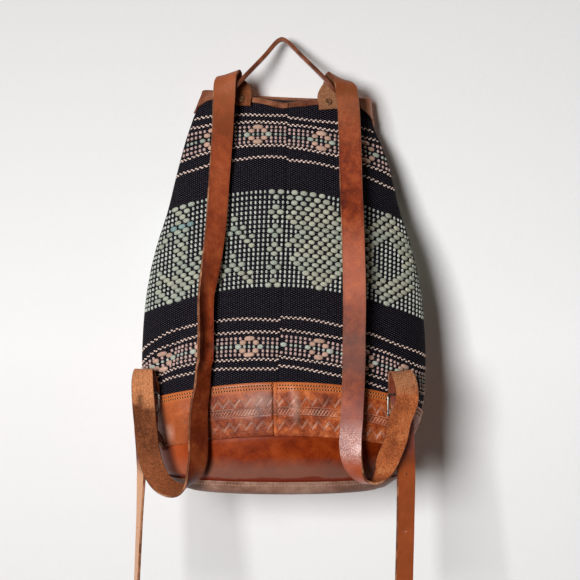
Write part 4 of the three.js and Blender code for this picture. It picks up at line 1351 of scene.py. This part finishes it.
# The bag
SLIT, MITRE, CORNER = 0.06, 0.25, 37
for name, start, end, count in (
    ("back_panel_left", lambda p: -180 + SLIT + 0 * p, lambda p: seam(p) - SLIT, 64),
    ("back_panel_right", lambda p: seam(p) + SLIT, lambda p: -SLIT + 0 * p, 64),
    ("front_panel", lambda p: SLIT + 0 * p, lambda p: 180 - SLIT + 0 * p, 110),
):
    panel = cloth_panel("cloth_" + name, start, end, count, 96)
    dress(panel, "cloth", "bag", [CLOTH_FINISH], name)


def matched(part, angle):
    return 0.0


def left_rows(part, angle):
    """The lower rows of the left panel run level as far as the strap, then drop."""
    out = abs(math.cos(math.radians(angle)))
    return -0.002 + 0.012 * out - 0.0160 * out ** 7 if part < -0.5 else 0.0


def right_rows(part, angle):
    """The right panel was sewn on a little low at the top, and its lower rows droop."""
    if part > -0.5:
        return -0.0024 if part > -0.2 else 0.0
    return 0.0016 - math.cos(math.radians(angle)) * (0.009 + 0.063 * (-0.567 - part))


def middle(part):
    return 90.0


BACK_LEFT = (seam, -180, chain_chevrons_and_tree, (6, 6), 0.55, left_rows)
BACK_RIGHT = (seam, 0, full_and_hollow_diamond, (7, 8), 0.25, right_rows)
FRONT = [(middle, end, full_and_hollow_diamond, (5, 5), 0.5, matched) for end in (0, 180)]
for name, halves in (("back_left", [BACK_LEFT]), ("back_right", [BACK_RIGHT]), ("front", FRONT)):
    dress(brocade("brocade_" + name, halves), "cloth", "bag", [YARN])
for name, node, start, end, count in (
    ("binding_left", "rim_binding_left", -180 + CORNER, seam(0) - MITRE, 60),
    ("binding_right", "rim_binding_right", seam(0) + MITRE, -CORNER, 60),
    ("band_front_rim", "rim_band_front", -CORNER + MITRE, 180 + CORNER - MITRE, 180),
):
    dress(rim_leather(name, start, end, count), "rim_leather", "bag", [RIM], node)
for name, start, end, count, rows in (
    ("band_left", -179.9, BAND_JOINT - 0.1, 300, 94),
    ("band_right", BAND_JOINT + 0.1, -0.1, 300, 94),
    ("band_front", 0.1, 179.9, 500, 80),
):
    band = tooled_band(name, start, end, count, rows)
    dress(band, "tooled_leather", "bag", [TOOLED], "base_" + name)
dress(base_wall(), "base_leather", "bag", [BASE], "base_wall")
dress(base_sole(), "base_leather", "bag", [SOLE], "base_sole")

# Stitches
PITCH, SOLE_PITCH = 0.0031, 0.0036
HOLE_SIZE, THREAD_SIZE = (0.0020, 0.0019, 0.0006), (0.0013, 0.0011, 0.0012)
SOLE_SIZE, SOLE_LINE = (0.0023, 0.0010, 0.0012), -0.9755
for number, down in ((1, 0.0034), (2, 0.0070)):
    def holes_at(angle):
        return band_top(angle) - down

    def stand(angle, sunk):
        z = holes_at(angle)
        return LAID_OUT + band_swell(band_across(angle, z), 1 - down / BAND_HEIGHT) - sunk

    around = even_angles(-180, 180, holes_at, PITCH)
    between = (around[1:] + around[:-1]) / 2
    for name, angles, sunk, size, finish in (
        # Painted shade inside each stitch hole, then the thread between them
        ("hole_shade", around, 0.0001, HOLE_SIZE, HOLE_SHADE),
        ("thread", between, 0.0002, THREAD_SIZE, THREAD),
    ):
        name, offset = f"stitch_{name}_{number}", stand(angles, sunk)
        stitch_row(name, angles, holes_at, offset, size, finish, "tooled_leather")


def sole_line(angle):
    return np.full_like(angle, level(SOLE_LINE))


around, on_sole = even_angles(-180, 180, sole_line, SOLE_PITCH), LAID_OUT + GAP + LEATHER - 0.0002
stitch_row("stitch_sole", around, sole_line, on_sole, SOLE_SIZE, SOLE_THREAD, "base_leather")

# Straps, buckles and tabs
for name, hand, turn, tab, anchor, bar, top, tail in SIDES:
    axes, loop = buckle_axes(hand, turn, bar), hand * LOOP_END
    make_strap(name, hand, axes, tab, top, tail)
    loop_at, loop_axis = rim_spot(loop, RIVET_DROP, 0), rim_facing(loop)
    rivet("loop", name, loop_at, loop_axis, 7 * GAP + LOOP, RIM_STACK, 0.0032)
    make_buckle(name, axes)
    make_tab(name, axes, anchor)
make_loop()

# Stage
plane, tilt = bpy.ops.mesh.primitive_plane_add, (math.radians(105), 0, 0)
floor = added(plane, size=1.2, location=(0, 0.05, -1))
bpy.ops.object.transform_apply(location=True)
floor.name = "floor"
wall = added(plane, size=8, location=(0, 0.09, -0.25), rotation=tilt)
bpy.ops.object.transform_apply(location=True, rotation=True)
wall.name = "wall"


def pale(name, glow, paint):
    """White paint that glows where camera and glossy rays see it, with painted shade towards the
    window and the ceiling.
    """
    f = Finish(name, Roughness=0.9, Specular_IOR_Level=0.1, Emission_Strength=glow)
    at = f.place()
    x, z = f.axes(at, 0, 2)
    # Painted shade, darker towards the window and the ceiling
    near = f.span(x, 0.35, -0.35) * 0.25 + f.span(z, -0.35, 0.05) * 0.48
    colour = f.mix(f.noise(at, 60, 3), tint(*paint), tint(250, 250, 250))
    colour = f.layered(colour, (near, (186, 186, 186)))
    seen = f.math("MAXIMUM", f.ray("Camera"), f.ray("Glossy"))
    f.feed(f.shader.inputs["Emission Color"], f.mix(seen, BLACK, (1, 1, 1, 1)))
    return f.surface(colour, None, f.noise(at, 190, 3), 0.12, 0.002)


floor_paint = pale("floor_paint", 0.5, (244, 244, 244))
bounced = floor_paint.ray("Diffuse"), (70, 70, 70)
floor_paint.surface(floor_paint.layered(floor_paint.colour(), bounced))
floor.data.materials.append(floor_paint.material)
wall_paint = pale("wall_paint", 0.0, (248, 248, 248))
backs = wall_paint.node("NewGeometry", output="Backfacing")
front = (1 - wall_paint.ray("Shadow")) * (1 - backs)
clear, paint = wall_paint.node("BsdfTransparent"), Link(wall_paint, wall_paint.shader.outputs[0])
shown = wall_paint.node("MixShader", {}, {0: front, 1: clear, 2: paint})
wall_paint.feed(wall_paint.tree.nodes["Material Output"].inputs["Surface"], shown)
wall.data.materials.append(wall_paint.material)

# Light and camera
scene = bpy.context.scene
scene.view_settings.view_transform = "Standard"
world = scene.world = bpy.data.worlds.new("room")
world.use_nodes = True
room = Nodes(world.node_tree)
light = room.tree.nodes["Background"]
room.feed(light.inputs["Color"], (1, 0.78, 0.6, 1))
room.feed(light.inputs["Strength"], 0.06)
backdrop = room.node("Background", {}, {0: tint(244, 244, 243)})
seen = room.math("MAXIMUM", room.ray("Camera"), room.ray("Transmission"))
shown = room.node("MixShader", {}, {0: seen, 1: Link(room, light.outputs[0]), 2: backdrop})
room.feed(room.tree.nodes["World Output"].inputs["Surface"], shown)


def lamp(name, at, target, size, power):
    """A square lamp that the camera doesn't see."""
    data = bpy.data.lights.new(name, "AREA")
    data.size, data.energy = size, power
    made = bpy.data.objects.new(name, data)
    made.location = at
    made.visible_camera = False
    made.rotation_euler = (Vector(target) - Vector(at)).to_track_quat("-Z", "Y").to_euler()
    scene.collection.objects.link(made)


lamp("window", (-1.075, -2.8, -0.12), (0, 0, -0.28), 0.95, 111)
lamp("room_behind", (-0.5, 1.7, 0.2), (0, 0, -0.3), 0.8, 22)
lamp("room_side", (1.5, 0.7, 0.2), (0, 0, -0.3), 0.8, 5)

eye = bpy.data.cameras.new("camera")
eye.sensor_fit = "HORIZONTAL"
eye.angle = math.radians(23.79)
camera = bpy.data.objects.new("camera", eye)
camera.location = (0.00908, -1.562, -0.2825)
camera.rotation_euler = (math.pi / 2, 0, 0)
scene.collection.objects.link(camera)
scene.camera = camera
